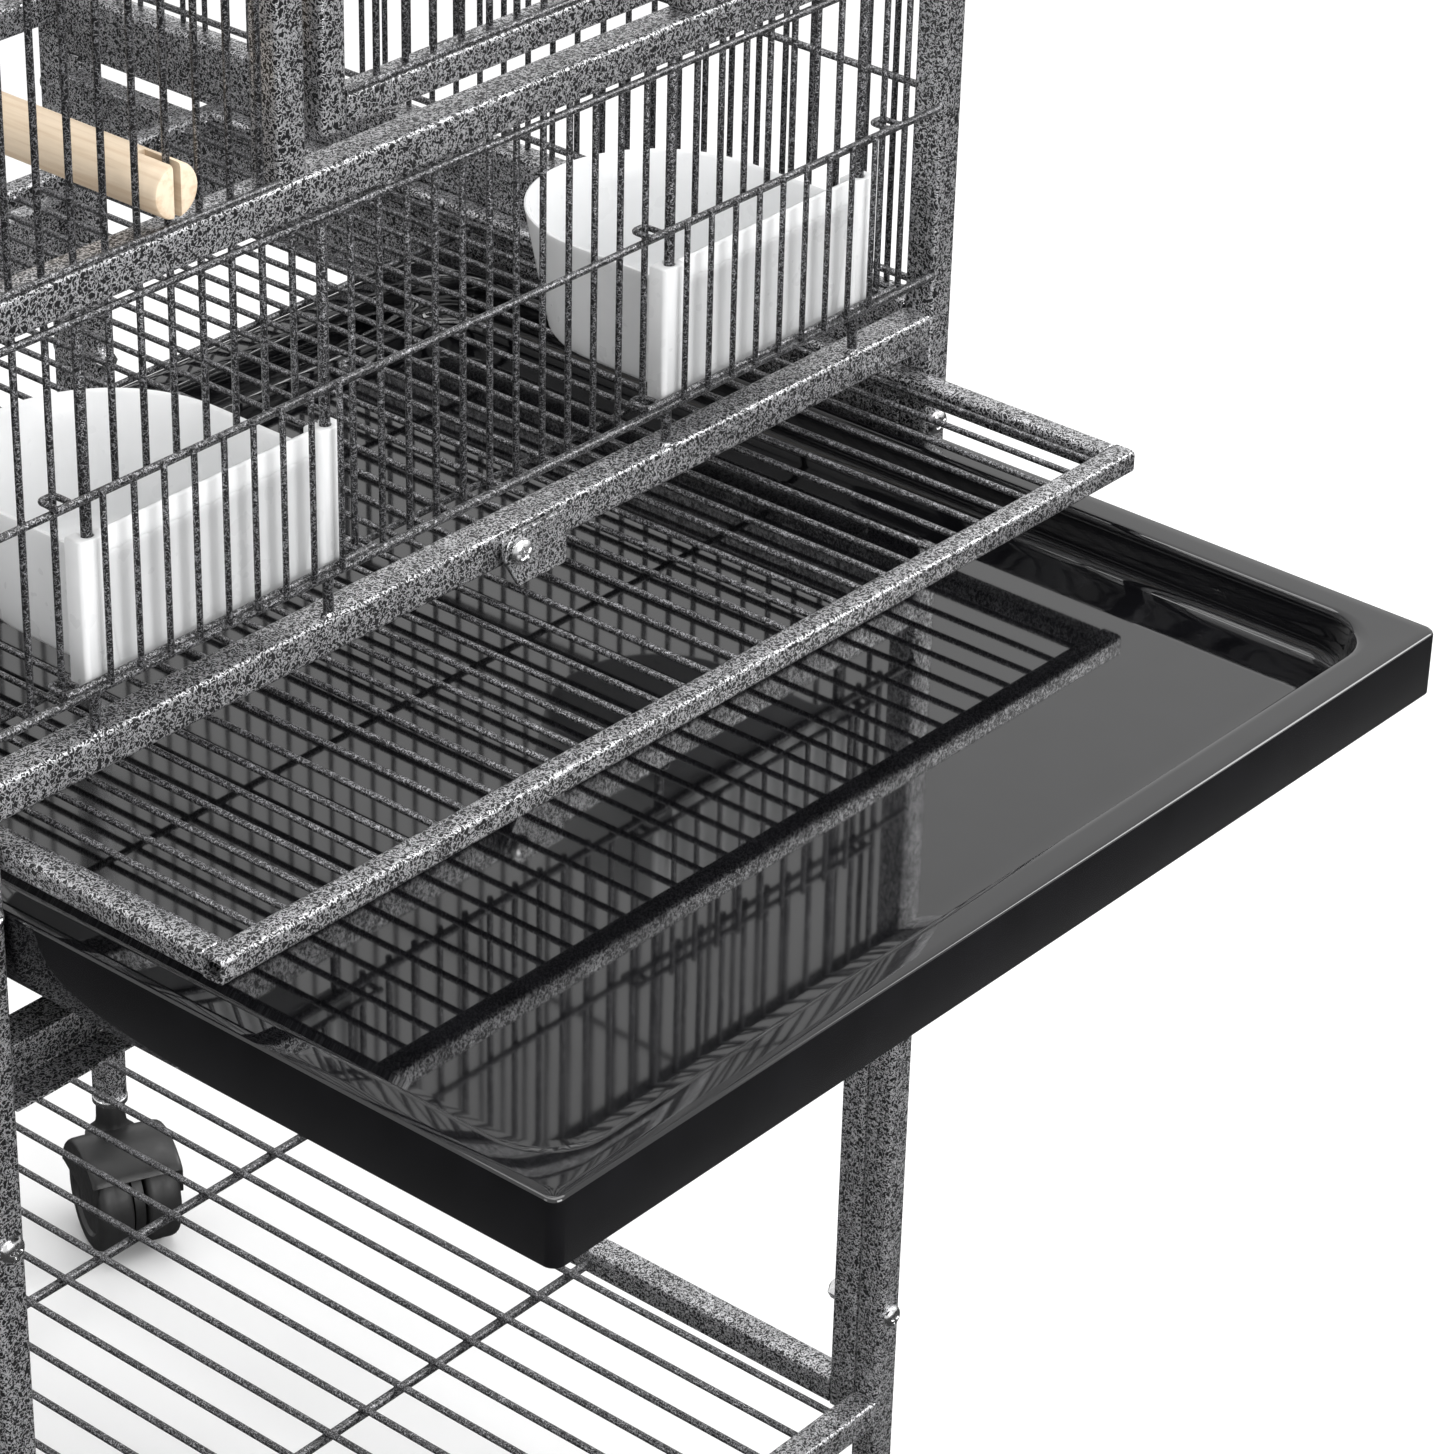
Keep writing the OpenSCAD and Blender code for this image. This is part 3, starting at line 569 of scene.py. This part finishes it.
def pan_head(b, place, r=4.5, h=2.9, slot=0, z=0.0):
    """Domed head with a cross recess."""
    n, rows = 48, 14
    loops = [[(r * 0.97 * math.cos(t), r * 0.97 * math.sin(t), z) for t in angles(n)],
             [(r * math.cos(t), r * math.sin(t), z + 0.4) for t in angles(n)]]
    for i in range(rows + 1):
        q = r * (1 - i / rows) ** 0.75
        top = z + 0.4 + (h - 0.4) * math.sqrt(max(0.0, 1 - (q / r) ** 2.4))
        loop = []
        for t in angles(n):
            x, y = max(q, 0.02) * math.cos(t), max(q, 0.02) * math.sin(t)
            near = min(abs(x), abs(y))
            far = max(abs(x), abs(y))
            dip = max(0.0, 1 - near / 0.62) * max(0.0, 1 - (far / (r * 0.6)) ** 4)
            loop.append((x, y, top - 1.3 * min(1.0, dip * 1.8)))
        loops.append(loop)
    b.loft(loops, slot, place)


def facing(x, y, z, sy):
    """Local Z points out of the front (sy -1) or the back (sy 1)."""
    return Matrix.Translation((x, y, z)) @ Matrix.Rotation(math.pi / 2 if sy < 0 else -math.pi / 2, 4, "X")


bolts, nuts = Build(), Build()
for sx in (-1, 1):
    for sy in (-1, 1):
        for zz in BOLT_Z:
            place = facing(sx * POST_X, sy * HALF_D, zz, sy) @ Matrix.Rotation(random.uniform(0, 3), 4, "Z")
            pan_head(bolts, place)
            bolts.lathe([(1.9, -2 * POST_D - 5), (2.4, -2 * POST_D - 4.4), (2.4, 0)], n=20, place=place)
            inner = facing(sx * POST_X, sy * LEG_Y, zz, -sy)
            hexa = [(4.5 * math.cos(t), 4.5 * math.sin(t)) for t in angles(6)]
            rim = [(3.9 * math.cos(t), 3.9 * math.sin(t)) for t in angles(6)]
            hole = [(2.5 * math.cos(t), 2.5 * math.sin(t)) for t in angles(6)]
            nuts.loft([[(x, y, 0.05) for x, y in hexa], [(x, y, 3.5) for x, y in hexa], [(x, y, 4) for x, y in rim],
                       [(x, y, 4) for x, y in hole], [(x, y, 0.05) for x, y in hole]], place=inner, closed=True)
bolts.make("fixings.bolts", steel, "cage_frame", ["frame_bolts"], "bright_steel", sharp=50)
nuts.make("fixings.nuts", steel, "cage_frame", ["frame_nuts"], "bright_steel", bevel=0.15)

LATCH_Z = BOTTOM_Z + 6.5
DOOR_LATCH_X, DOOR_LATCH_Z = -JAMB_X - POST_W / 2, 905
screws = Build()
for x, zz in ((0, LATCH_Z), (DOOR_LATCH_X, DOOR_LATCH_Z)):
    place = facing(x, -HALF_D, zz, -1)
    screws.lathe([(2.0, -3), (2.0, 5.2)], n=24, place=place)
    screws.lathe([(4.3, 0), (4.5, 0.25), (4.5, 2.3), (4.3, 2.6)], n=32, place=place)
    pan_head(screws, place @ Matrix.Rotation(0.6, 4, "Z"), h=2.9, z=4.9)
screws.make("fixings.pivot_screws", steel, "cage_frame", ["pivot_screws"], "bright_steel", sharp=50)


def plate(b, length, low, high, place):
    """Turning plate, round about its screw and square with soft corners at its free end."""
    pts = [(high * math.cos(a), high * math.sin(a)) for a in [math.pi / 2 + math.pi / 2 * i / 10 for i in range(11)]]
    pts += [(-high * 0.97, -high * 0.3), (0.0, -low)] if low > high + 1 else \
        [(high * math.cos(a), high * math.sin(a)) for a in [math.pi + math.pi / 2 * (i + 1) / 10 for i in range(10)]]
    c = 1.6
    pts += [(length - c + c * math.cos(a), -low + c + c * math.sin(a))
            for a in [-math.pi / 2 + math.pi / 2 * i / 4 for i in range(5)]]
    pts += [(length - c + c * math.cos(a), high - c + c * math.sin(a))
            for a in [math.pi / 2 * i / 4 for i in range(5)]]
    b.prism(pts, 0, 1.8, place, bevel=0.25)


b = Build()
plate(b, 22, 12.5, 6.5, facing(0, -HALF_D - 2.8, LATCH_Z, -1))
b.make("latch.plate", frame_coat, "latch_plate", ["latch_plate"], "frame_coat", bevel=0.2)
b = Build()
plate(b, 19, 5.5, 5.5, facing(DOOR_LATCH_X, -HALF_D - 2.8, DOOR_LATCH_Z, -1) @ Matrix.Rotation(-math.pi / 2, 4, "Z"))
b.make("latch.door_plate", frame_coat, "door_latch", ["door_latch"], "frame_coat", bevel=0.2)


# ---- door ----

b = Build()
DOOR_Z, TUBE = MIDDLE_TOP + 9.5, 10.0
DOOR_H = DOOR_RAIL_Z - DOOR_Z - 3
half = 78.0
inn = half - TUBE
for x in (-half, inn):
    b.tube((x, -HALF_D, DOOR_Z), (x + TUBE, -HALF_D + TUBE, DOOR_Z + DOOR_H), 2)
for zz in (DOOR_Z, DOOR_Z + DOOR_H - TUBE):
    b.tube((-inn - 0.2, -HALF_D, zz), (inn + 0.2, -HALF_D + TUBE, zz + TUBE), 0)
zs = [DOOR_Z + TUBE + 1.0, DOOR_Z + DOOR_H / 3, DOOR_Z + 2 * DOOR_H / 3]
for k in range(-5, 5):
    x = (k + 0.5) * PITCH
    b.rod((x, BAR_Y, DOOR_Z + TUBE - 0.5), (x + wiggle(), BAR_Y, DOOR_Z + DOOR_H - TUBE + 0.5), BAR_D, slot=1)
    b.blob((x, BAR_Y, DOOR_Z + TUBE + 0.1), 1.7, 1.6, 0.9, n=8, rows=4, slot=1)
    for zz in zs:
        b.blob((x, (BAR_Y + WIRE_Y) / 2, zz), 1.25, 0.9, 1.25, n=6, rows=3, slot=1)
for zz in zs:
    b.rod((-inn - 0.5, WIRE_Y, zz), (inn + 0.5, WIRE_Y, zz), BAR_D, slot=1)
hinge_x, hinge_y = (JAMB_X + half) / 2, -HALF_D - 2
for hz in (DOOR_Z + 45, DOOR_Z + DOOR_H - 65):
    ring = [(3.2, hz + 3.3), (3.2, hz + 20.7), (1.55, hz + 20.7), (1.55, hz + 3.3)]
    b.lathe(ring, n=24, place=Matrix.Translation((hinge_x, hinge_y, 0)), closed=True)
    leaf = [(half - 0.4, hinge_y - 3.1), (hinge_x - 1.4, hinge_y - 3.1),
            (hinge_x - 1.7, hinge_y + 1.2), (half - 0.4, hinge_y + 3)]
    b.prism(leaf, hz + 3.4, hz + 20.6)
b.make("door.panel", [frame_coat, wire_coat], "front_door", ["front_door"], "frame_coat")


# ---- feeder gates ----

def corner_path(points, r, n=5):
    """A closed path with its corners rounded."""
    out = []
    pts = [Vector(p) for p in points]
    for i, p in enumerate(pts):
        a = (pts[i - 1] - p).normalized()
        c = (pts[(i + 1) % len(pts)] - p).normalized()
        for j in range(n + 1):
            t = j / n
            out.append((p + a * r) * (1 - t) ** 2 + p * 2 * t * (1 - t) + (p + c * r) * t ** 2)
    return out


LOW_GATE, HIGH_GATE = WIRE_LOW + 4.5, WIRE_HIGH + 2.6
GATE_Y = -HALF_D - 2.6
for side, s in (("left", -1), ("right", 1)):
    b = Build()
    cx = s * CUP_X
    rr = BAR_D / 2 + 0.5 + BAR_D / 2
    for zz in (LOW_GATE, HIGH_GATE):
        b.rod((cx - GATE_HALF - rr - 0.9, GATE_Y, zz), (cx + GATE_HALF + rr + 0.9, GATE_Y, zz), BAR_D)
        for g in (-1, 1):
            gx = cx + g * GATE_HALF
            loop = [(gx - rr, GATE_Y, zz), (gx + rr, GATE_Y, zz), (gx + rr, BAR_Y + rr, zz), (gx - rr, BAR_Y + rr, zz)]
            b.sweep(corner_path(loop, 1.9), 2.0, closed=True)
    for k in range(-4, 5):
        x = cx + k * (PITCH - 0.15) + wiggle(0.12)
        b.rod((x, GATE_Y - 1.8, LOW_GATE - 1.5), (x, GATE_Y - 1.8, HIGH_GATE + 1.5), 2.0)
        for zz in (LOW_GATE, HIGH_GATE):
            b.blob((x, GATE_Y - 0.9, zz), 1.25, 0.9, 1.25, n=6, rows=3)
    b.make("feeder.gate_" + side, wire_coat, "feeder_door_" + side, ["feeder_door_" + side], "wire_coat")


# ---- feeder cups ----

def cup_outline(r, front, back, corner=3.0, n=28, side_n=6):
    """Front wall, straight sides and a half circle behind."""
    pts = []
    for i in range(n + 1):
        a = math.pi * i / n
        pts.append((r * math.cos(a), back - r + r * math.sin(a)))
    for i in range(1, side_n):
        pts.append((-r, back - r + (front + corner - back + r) * i / side_n))
    for i in range(5):
        a = math.pi + math.pi / 2 * i / 4
        pts.append((-r + corner + corner * math.cos(a), front + corner + corner * math.sin(a)))
    for i in range(1, 8):
        pts.append((-r + corner + (2 * r - 2 * corner) * i / 8, front))
    for i in range(5):
        a = -math.pi / 2 + math.pi / 2 * i / 4
        pts.append((r - corner + corner * math.cos(a), front + corner + corner * math.sin(a)))
    for i in range(1, side_n):
        pts.append((r, front + corner + (back - r - front - corner) * i / side_n))
    return pts


CUP_TOP, CUP_RIM, FOOT_Z = 654.5, 647.0, WIRE_LOW - 2
OUTER_POINTS = 18  # of a clip's outline, the rest is its bore
front = -HALF_D + 1.8
back = front + 90
for side, s in (("left", -1), ("right", 1)):
    b = Build()
    cx = s * CUP_X

    def level(t, inset, z, corner=3.0):
        r = 39 + 6.4 * t - inset
        outline = cup_outline(r, front + inset, back - 9 * (1 - t) - inset, max(corner - inset, 0.6))
        return [(cx + x, y, z) for x, y in outline]
    h = CUP_RIM - FOOT_Z
    # up the outside, over the rim and down the inside
    loops = [level(0, 2.2, FOOT_Z), level(0, 0.7, FOOT_Z + 0.5), level(0.03, 0, FOOT_Z + 2)]
    loops += [level(t, 0, FOOT_Z + h * t) for t in (0.25, 0.5, 0.75, 0.93)]
    loops += [level(0.97, -0.15, CUP_RIM - 1.2), level(1, 0.1, CUP_RIM - 0.3), level(1, 0.7, CUP_RIM),
              level(1, 1.4, CUP_RIM - 0.4), level(0.98, 1.8, CUP_RIM - 1.2)]
    loops += [level(t, 1.8, FOOT_Z + h * t) for t in (0.75, 0.5, 0.25)]
    loops += [level(0.12, 2.1, FOOT_Z + 5), level(0.06, 3.3, FOOT_Z + 2.8), level(0.04, 6, FOOT_Z + 1.9)]
    b.loft(loops)
    # the ribbed front wall between the two clips
    wall_half = GUIDE_HALF - GUIDE_D / 2 - 0.5
    cols = 96
    rows = []
    for zz, inset in ((FOOT_Z + 0.2, 0.4), (FOOT_Z + 1.2, 0.0), (620, 0), (640, 0),
                      (CUP_TOP - 1.2, 0), (CUP_TOP - 0.35, 0.25), (CUP_TOP, 0.9)):
        row = []
        for i in range(cols + 1):
            x = -wall_half + 2 * wall_half * i / cols
            wave = 0.22 * (0.5 - 0.5 * math.cos(2 * math.pi * x / (PITCH / 2))) if zz > FOOT_Z + 1 else 0.2
            row.append((cx + x, front + inset + wave, zz))
        for i in range(cols, -1, -1):
            x = -wall_half + 2 * wall_half * i / cols
            row.append((cx + x, front + 1.9 - inset, zz))
        rows.append(row)
    b.loft(rows)
    clip_y, half = BAR_Y - GUIDE_D / 2 - 0.35 - 1.3, 5.0
    z0 = WIRE_LOW + LOW_D / 2 + 0.3
    # each clip grips its guide bar with a bore that is open to the back
    for g in (-1, 1):
        gx = cx + g * GUIDE_HALF
        back_y, rc, hr = clip_y + 7.2, 2.2, GUIDE_D / 2 + 0.35
        pts = [(1.0, back_y), (half, back_y)]
        pts += [(half - rc + rc * math.cos(a), clip_y + rc + rc * math.sin(a))
                for a in [-math.pi / 2 * i / 6 for i in range(7)]]
        pts += [(-half + rc + rc * math.cos(a), clip_y + rc + rc * math.sin(a))
                for a in [-math.pi / 2 - math.pi / 2 * i / 6 for i in range(7)]]
        pts += [(-half, back_y), (-1.0, back_y)]
        a0 = math.asin(1.0 / hr)
        pts += [(hr * math.cos(a), BAR_Y + hr * math.sin(a)) for a in
                [math.pi / 2 + a0 + (2 * math.pi - 2 * a0) * i / 20 for i in range(21)]]
        loops = []
        for k, zz in ((0.5, z0), (0, z0 + 0.5), (0, CUP_TOP - 0.6), (0.18, CUP_TOP - 0.2), (0.5, CUP_TOP)):
            loop = []
            for i, (x, y) in enumerate(pts):
                if i < OUTER_POINTS:
                    x, y = x * (1 - k / half), clip_y + 3.6 + (y - clip_y - 3.6) * (1 - k / 3.6)
                loop.append((gx + x, y, zz))
            loops.append(loop)
        b.loft(loops)
    b.make("feeder.cup_" + side, cup_white, "feeder_cup_" + side, ["feeder_cup_" + side], "cup_white", sharp=48)


# ---- grate ----

b = Build()
lo, hi = in_mm("grate")
GF = 8.6
for y in (lo[1], hi[1] - GF):
    b.tube((lo[0], y, lo[2]), (hi[0], y + GF, hi[2]), 0, wall=1.15, r=1.6)
for x in (lo[0], hi[0] - GF):
    b.tube((x, lo[1] + GF - 0.2, lo[2]), (x + GF, hi[1] - GF + 0.2, hi[2]), 1, r=1.6)
gp = (hi[0] - lo[0] - 2 * GF - BAR_D - 2) / 33
z = lo[2] + 4 + 0.8
under = [lo[1] + 150, lo[1] + 290]
for k in ROW:
    dx = wiggle(0.12)
    b.rod((k * gp + dx, lo[1] + GF - 0.6, z), (k * gp + wiggle(0.12), hi[1] - GF + 0.6, z), BAR_D, slot=1)
    for e in (lo[1] + GF, hi[1] - GF):
        b.blob((k * gp + dx, e, z), 1.7, 0.9, 1.5, n=8, rows=4)
    for yy in under:
        b.blob((k * gp + dx, yy, z - 1.0), 1.3, 1.3, 0.8, n=6, rows=3, slot=1)
for yy in under:
    b.rod((-hi[0] + GF - 0.5, yy, z - 1.9), (hi[0] - GF + 0.5, yy, z - 1.9), 2.4, slot=1)
b.make("grate.panel", [frame_coat, wire_coat], "grate", ["grate"], "frame_coat")


# ---- tray ----

b = Build()
lo, hi = in_mm("tray")
w, d = hi[0] - lo[0], hi[1] - lo[1]
cy, top, foot = (lo[1] + hi[1]) / 2, hi[2], lo[2]
rim, t = 13.0, 2.2
iw, idp = w - 2 * rim, d - 2 * rim


def tray_loop(ww, dd, r, zz):
    return [(x, cy + y, zz) for x, y in rounded(ww, dd, r, 10)]


# from the skirt's inner side over the rim and down into the basin
loops = [tray_loop(w - 2 * t, d - 2 * t, 3, top - t), tray_loop(w - 2 * t, d - 2 * t, 3, foot),
         tray_loop(w - 0.5, d - 0.5, 4, foot), tray_loop(w, d, 4, foot + 0.3),
         tray_loop(w, d, 4, top - 1.3), tray_loop(w - 0.35, d - 0.35, 4, top - 0.6),
         tray_loop(w - 1.1, d - 1.1, 4, top - 0.15), tray_loop(w - 2.4, d - 2.4, 4, top),
         tray_loop(w - 8, d - 8, 6, top - 0.02), tray_loop(iw + 6, idp + 6, 21, top),
         tray_loop(iw + 2.6, idp + 2.6, 22, top - 0.1), tray_loop(iw + 1.0, idp + 1.0, 22, top - 0.6),
         tray_loop(iw, idp, 22, top - 1.8), tray_loop(iw - 1.2, idp - 1.2, 22, top - 9),
         tray_loop(iw - 2.4, idp - 2.4, 22, top - 13), tray_loop(iw - 4.2, idp - 4.2, 21.5, top - 15.2),
         tray_loop(iw - 7, idp - 7, 21, top - 16.6), tray_loop(iw - 11, idp - 11, 20, top - 17),
         tray_loop(iw - 40, idp - 40, 16, top - 17)]
b.loft(loops, cap_start=False)
under_side = [tray_loop(w - 2 * t, d - 2 * t, 3, top - t), tray_loop(iw + 2 * t, idp + 2 * t, 24, top - t),
              tray_loop(iw + 2 * t - 2, idp + 2 * t - 2, 24, top - 17), tray_loop(iw, idp, 24, top - 17 - t)]
b.loft(under_side, cap_start=False)
b.make("tray.pan", tray_black, "tray", ["tray"], "tray_black", sharp=40)


# ---- casters ----

AXLE_Z, TRAIL, TURN = 25.0, 17.0, 245.0
POST_FOOT = in_mm("post_rear_right")[0][2]


def add_stem(stems, at):
    """Zinc stem with the collar that stops it under its post."""
    stems.lathe([(3.4, 50), (3.5, 50.4), (3.5, POST_FOOT - 3.2), (7.6, POST_FOOT - 3), (8.0, POST_FOOT - 2.6),
                 (8.0, POST_FOOT - 0.4), (7.6, POST_FOOT), (3.5, POST_FOOT), (3.5, 110)], n=32, place=at)


def hood_roof(hood, axle, start=42, stop=168, steps=30):
    """Curved roof over both wheels, with rounded edges. Pairs are place along the axle and distance from it."""
    section = [(-20.9, 26.2), (-20.7, 27.0), (-20, 27.5), (-18.5, 27.85), (-14, 28), (-5, 28),
               (5, 28), (14, 28), (18.5, 27.85), (20, 27.5), (20.7, 27.0), (20.9, 26.2),
               (20.6, 26.1), (18, 26.15), (8, 26.2), (0, 26.2), (-8, 26.2), (-18, 26.15), (-20.6, 26.1)]
    loops = []
    for i in range(steps + 1):
        a = math.radians(start + (stop - start) * i / steps)
        thin = 0.5 if i in (0, steps) else 0
        radii = [(u, q - (thin if q > 26.5 else 0)) for u, q in section]
        loops.append([(q * math.cos(a), q * math.sin(a), u) for u, q in radii])
    hood.loft(loops, place=axle)


def hood_walls(hood, axle, r=26.6, start=43, spread=124, floor_y=6.2):
    """The two flat cheeks outside the wheels, cut straight below."""
    for side in (-1, 1):
        loops = []
        for u in (18.4, 20.9):
            turns = [math.radians(start + spread * i / 24) for i in range(25)]
            arc = [(r * math.cos(a), r * math.sin(a), side * u) for a in turns]
            loops.append(arc + [(max(-24.4, min(19.2, x)), floor_y, w) for x, y, w in reversed(arc)])
        hood.loft(loops, place=axle)


def caster_hood(turn, axle):
    hood = Build()
    hood_roof(hood, axle)
    hood_walls(hood, axle)
    hood.lathe([(20.5, -2.5), (22, -2.3), (22, 2.3), (20.5, 2.5)], n=40, place=axle)
    hood.lathe([(3.6, 45), (12.0, 45.2), (10.2, 47.0), (8.2, 49.2), (7.1, 51.5), (6.7, 54), (6.5, POST_FOOT - 4.4),
                (6.1, POST_FOOT - 3.7), (3.6, POST_FOOT - 3.6)], n=36, place=turn)
    return hood


def caster_wheels(axle):
    """Axle and twin wheels. The outline runs from the hub over the tread to the outer side."""
    wheels = Build()
    wheels.lathe([(2.9, -16), (3.0, -15.6), (3.0, 15.6), (2.9, 16)], n=24, place=axle)
    outline = [(3.0, 3.6), (20, 3.5), (23.2, 3.5), (24.3, 3.9), (24.85, 4.8), (25.0, 6), (25.0, 10.6),
               (24.75, 11.4), (24.95, 12.2), (24.9, 15.8), (24.5, 17.2), (23.6, 18.3), (22.2, 19.0),
               (20.5, 19.3), (18.3, 19.35), (17.3, 19.1), (16.8, 18.2), (16.2, 17.5), (10, 17.1),
               (7, 17.2), (6.4, 17.6), (6.0, 18.9), (5.4, 19.3), (2.0, 19.4), (0.2, 19.4)]
    for side in (-1, 1):
        wheels.lathe([(r, side * u) for r, u in outline], n=64, place=axle)
    return wheels


stems = Build()
for name, sx, sy in (("front_left", -1, -1), ("front_right", 1, -1), ("rear_left", -1, 1), ("rear_right", 1, 1)):
    at = Matrix.Translation((sx * POST_X, sy * STEM_Y, 0))
    turn = at @ Matrix.Rotation(math.radians(TURN), 4, "Z")
    axle = turn @ Matrix.Translation((TRAIL, 0, AXLE_Z)) @ Matrix.Rotation(math.pi / 2, 4, "X")
    add_stem(stems, at)
    body = "caster_hood_" + name
    caster_hood(turn, axle).make("caster.hood_" + name, hood_black, body, [body], "caster_plastic", sharp=42)
    body = "caster_wheels_" + name
    caster_wheels(axle).make("caster.wheels_" + name, wheel_black, body, [body], "wheel_plastic", sharp=40)
stems.make("caster.stems", steel, "cage_frame", ["caster_stems"], "bright_steel", sharp=45)


# ---- floor, light, camera ----

floor_mat = Mat("pale_floor")
floor_mat.link(floor_mat.ramp(floor_mat.noise(3, 2), [(0.3, 0.90), (0.7, 0.93)]), floor_mat.bsdf.inputs["Base Color"])
floor_mat.set(Roughness=0.9, Specular_IOR_Level=0.1)
# to glossy rays the floor turns into a near-black diffuse grey: painted shade in the floor's reflections on the tray
# and the metal
painted_reflection_shade = floor_mat.node("ShaderNodeBsdfDiffuse")
painted_reflection_shade.inputs[0].default_value = (0.05, 0.05, 0.05, 1)
both = floor_mat.node("ShaderNodeMixShader")
floor_mat.link(floor_mat.node("ShaderNodeLightPath").outputs["Is Glossy Ray"], both.inputs[0])
floor_mat.link(floor_mat.bsdf.outputs[0], both.inputs[1])
floor_mat.link(painted_reflection_shade.outputs[0], both.inputs[2])
floor_mat.link(both.outputs[0], floor_mat.nt.nodes["Material Output"].inputs["Surface"])
me = bpy.data.meshes.new("floor")
size = 14
corners = [(x * size, y * size, -0.0005) for x, y in ((-1, -1), (1, -1), (1, 1), (-1, 1))]
me.from_pydata(corners, [], [[0, 1, 2, 3]])
floor = bpy.data.objects.new("floor", me)
me.materials.append(floor_mat.mat)
bpy.context.collection.objects.link(floor)


def area(name, place, target, w, h, power):
    data = bpy.data.lights.new(name, "AREA")
    data.shape = "RECTANGLE"
    data.size, data.size_y, data.energy = w, h, power
    obj = bpy.data.objects.new(name, data)
    obj.location = place
    obj.rotation_euler = (Vector(target) - Vector(place)).to_track_quat("-Z", "Y").to_euler()
    obj.visible_camera = False
    bpy.context.collection.objects.link(obj)


area("key", (-0.5, -3.0, 1.9), (0, -0.2, 0.6), 1.8, 1.6, 75)
area("top", (0.2, 0.0, 3.6), (0, 0, 0.4), 3.2, 3.2, 95)
area("left", (-3.2, 0.6, 1.5), (0, 0, 0.6), 1.2, 1.8, 14)
area("right", (2.6, -1.6, 2.2), (0, -0.1, 0.5), 1.4, 1.4, 40)

world = bpy.data.worlds.new("studio")
bpy.context.scene.world = world
world.use_nodes = True
nt = world.node_tree
bg = nt.nodes["Background"]
bg.inputs[0].default_value = (1, 1, 1, 1)
ray = nt.nodes.new("ShaderNodeLightPath")
strength = 0.45
for name, more in (("Is Camera Ray", 0.6), ("Is Glossy Ray", 0.45)):
    part = nt.nodes.new("ShaderNodeMath")
    part.operation = "MULTIPLY_ADD"
    nt.links.new(ray.outputs[name], part.inputs[0])
    part.inputs[1].default_value = more
    if isinstance(strength, float):
        part.inputs[2].default_value = strength
    else:
        nt.links.new(strength, part.inputs[2])
    strength = part.outputs[0]
nt.links.new(strength, bg.inputs[1])

bpy.context.scene.view_settings.view_transform = "Standard"
bpy.context.scene.view_settings.look = "None"

cam = bpy.data.cameras.new("camera")
cam.lens, cam.sensor_width, cam.sensor_fit = 118.75, 36, "AUTO"
cam.clip_start, cam.clip_end = 0.05, 60
a, e, roll = math.radians(-50.53), math.radians(29.99), math.radians(1.55)
right = Vector((math.cos(a), math.sin(a), 0))
back_v = Vector((math.sin(a) * math.cos(e), -math.cos(a) * math.cos(e), math.sin(e)))
up = back_v.cross(right)
c, s = math.cos(roll), math.sin(roll)
right2, up2 = right * c + up * s, up * c - right * s
m = Matrix((right2, up2, back_v)).transposed().to_4x4()
m.translation = Vector((-0.9759, -1.1147, 1.2839))
cam_obj = bpy.data.objects.new("camera", cam)
cam_obj.matrix_world = m
bpy.context.collection.objects.link(cam_obj)
bpy.context.scene.camera = cam_obj
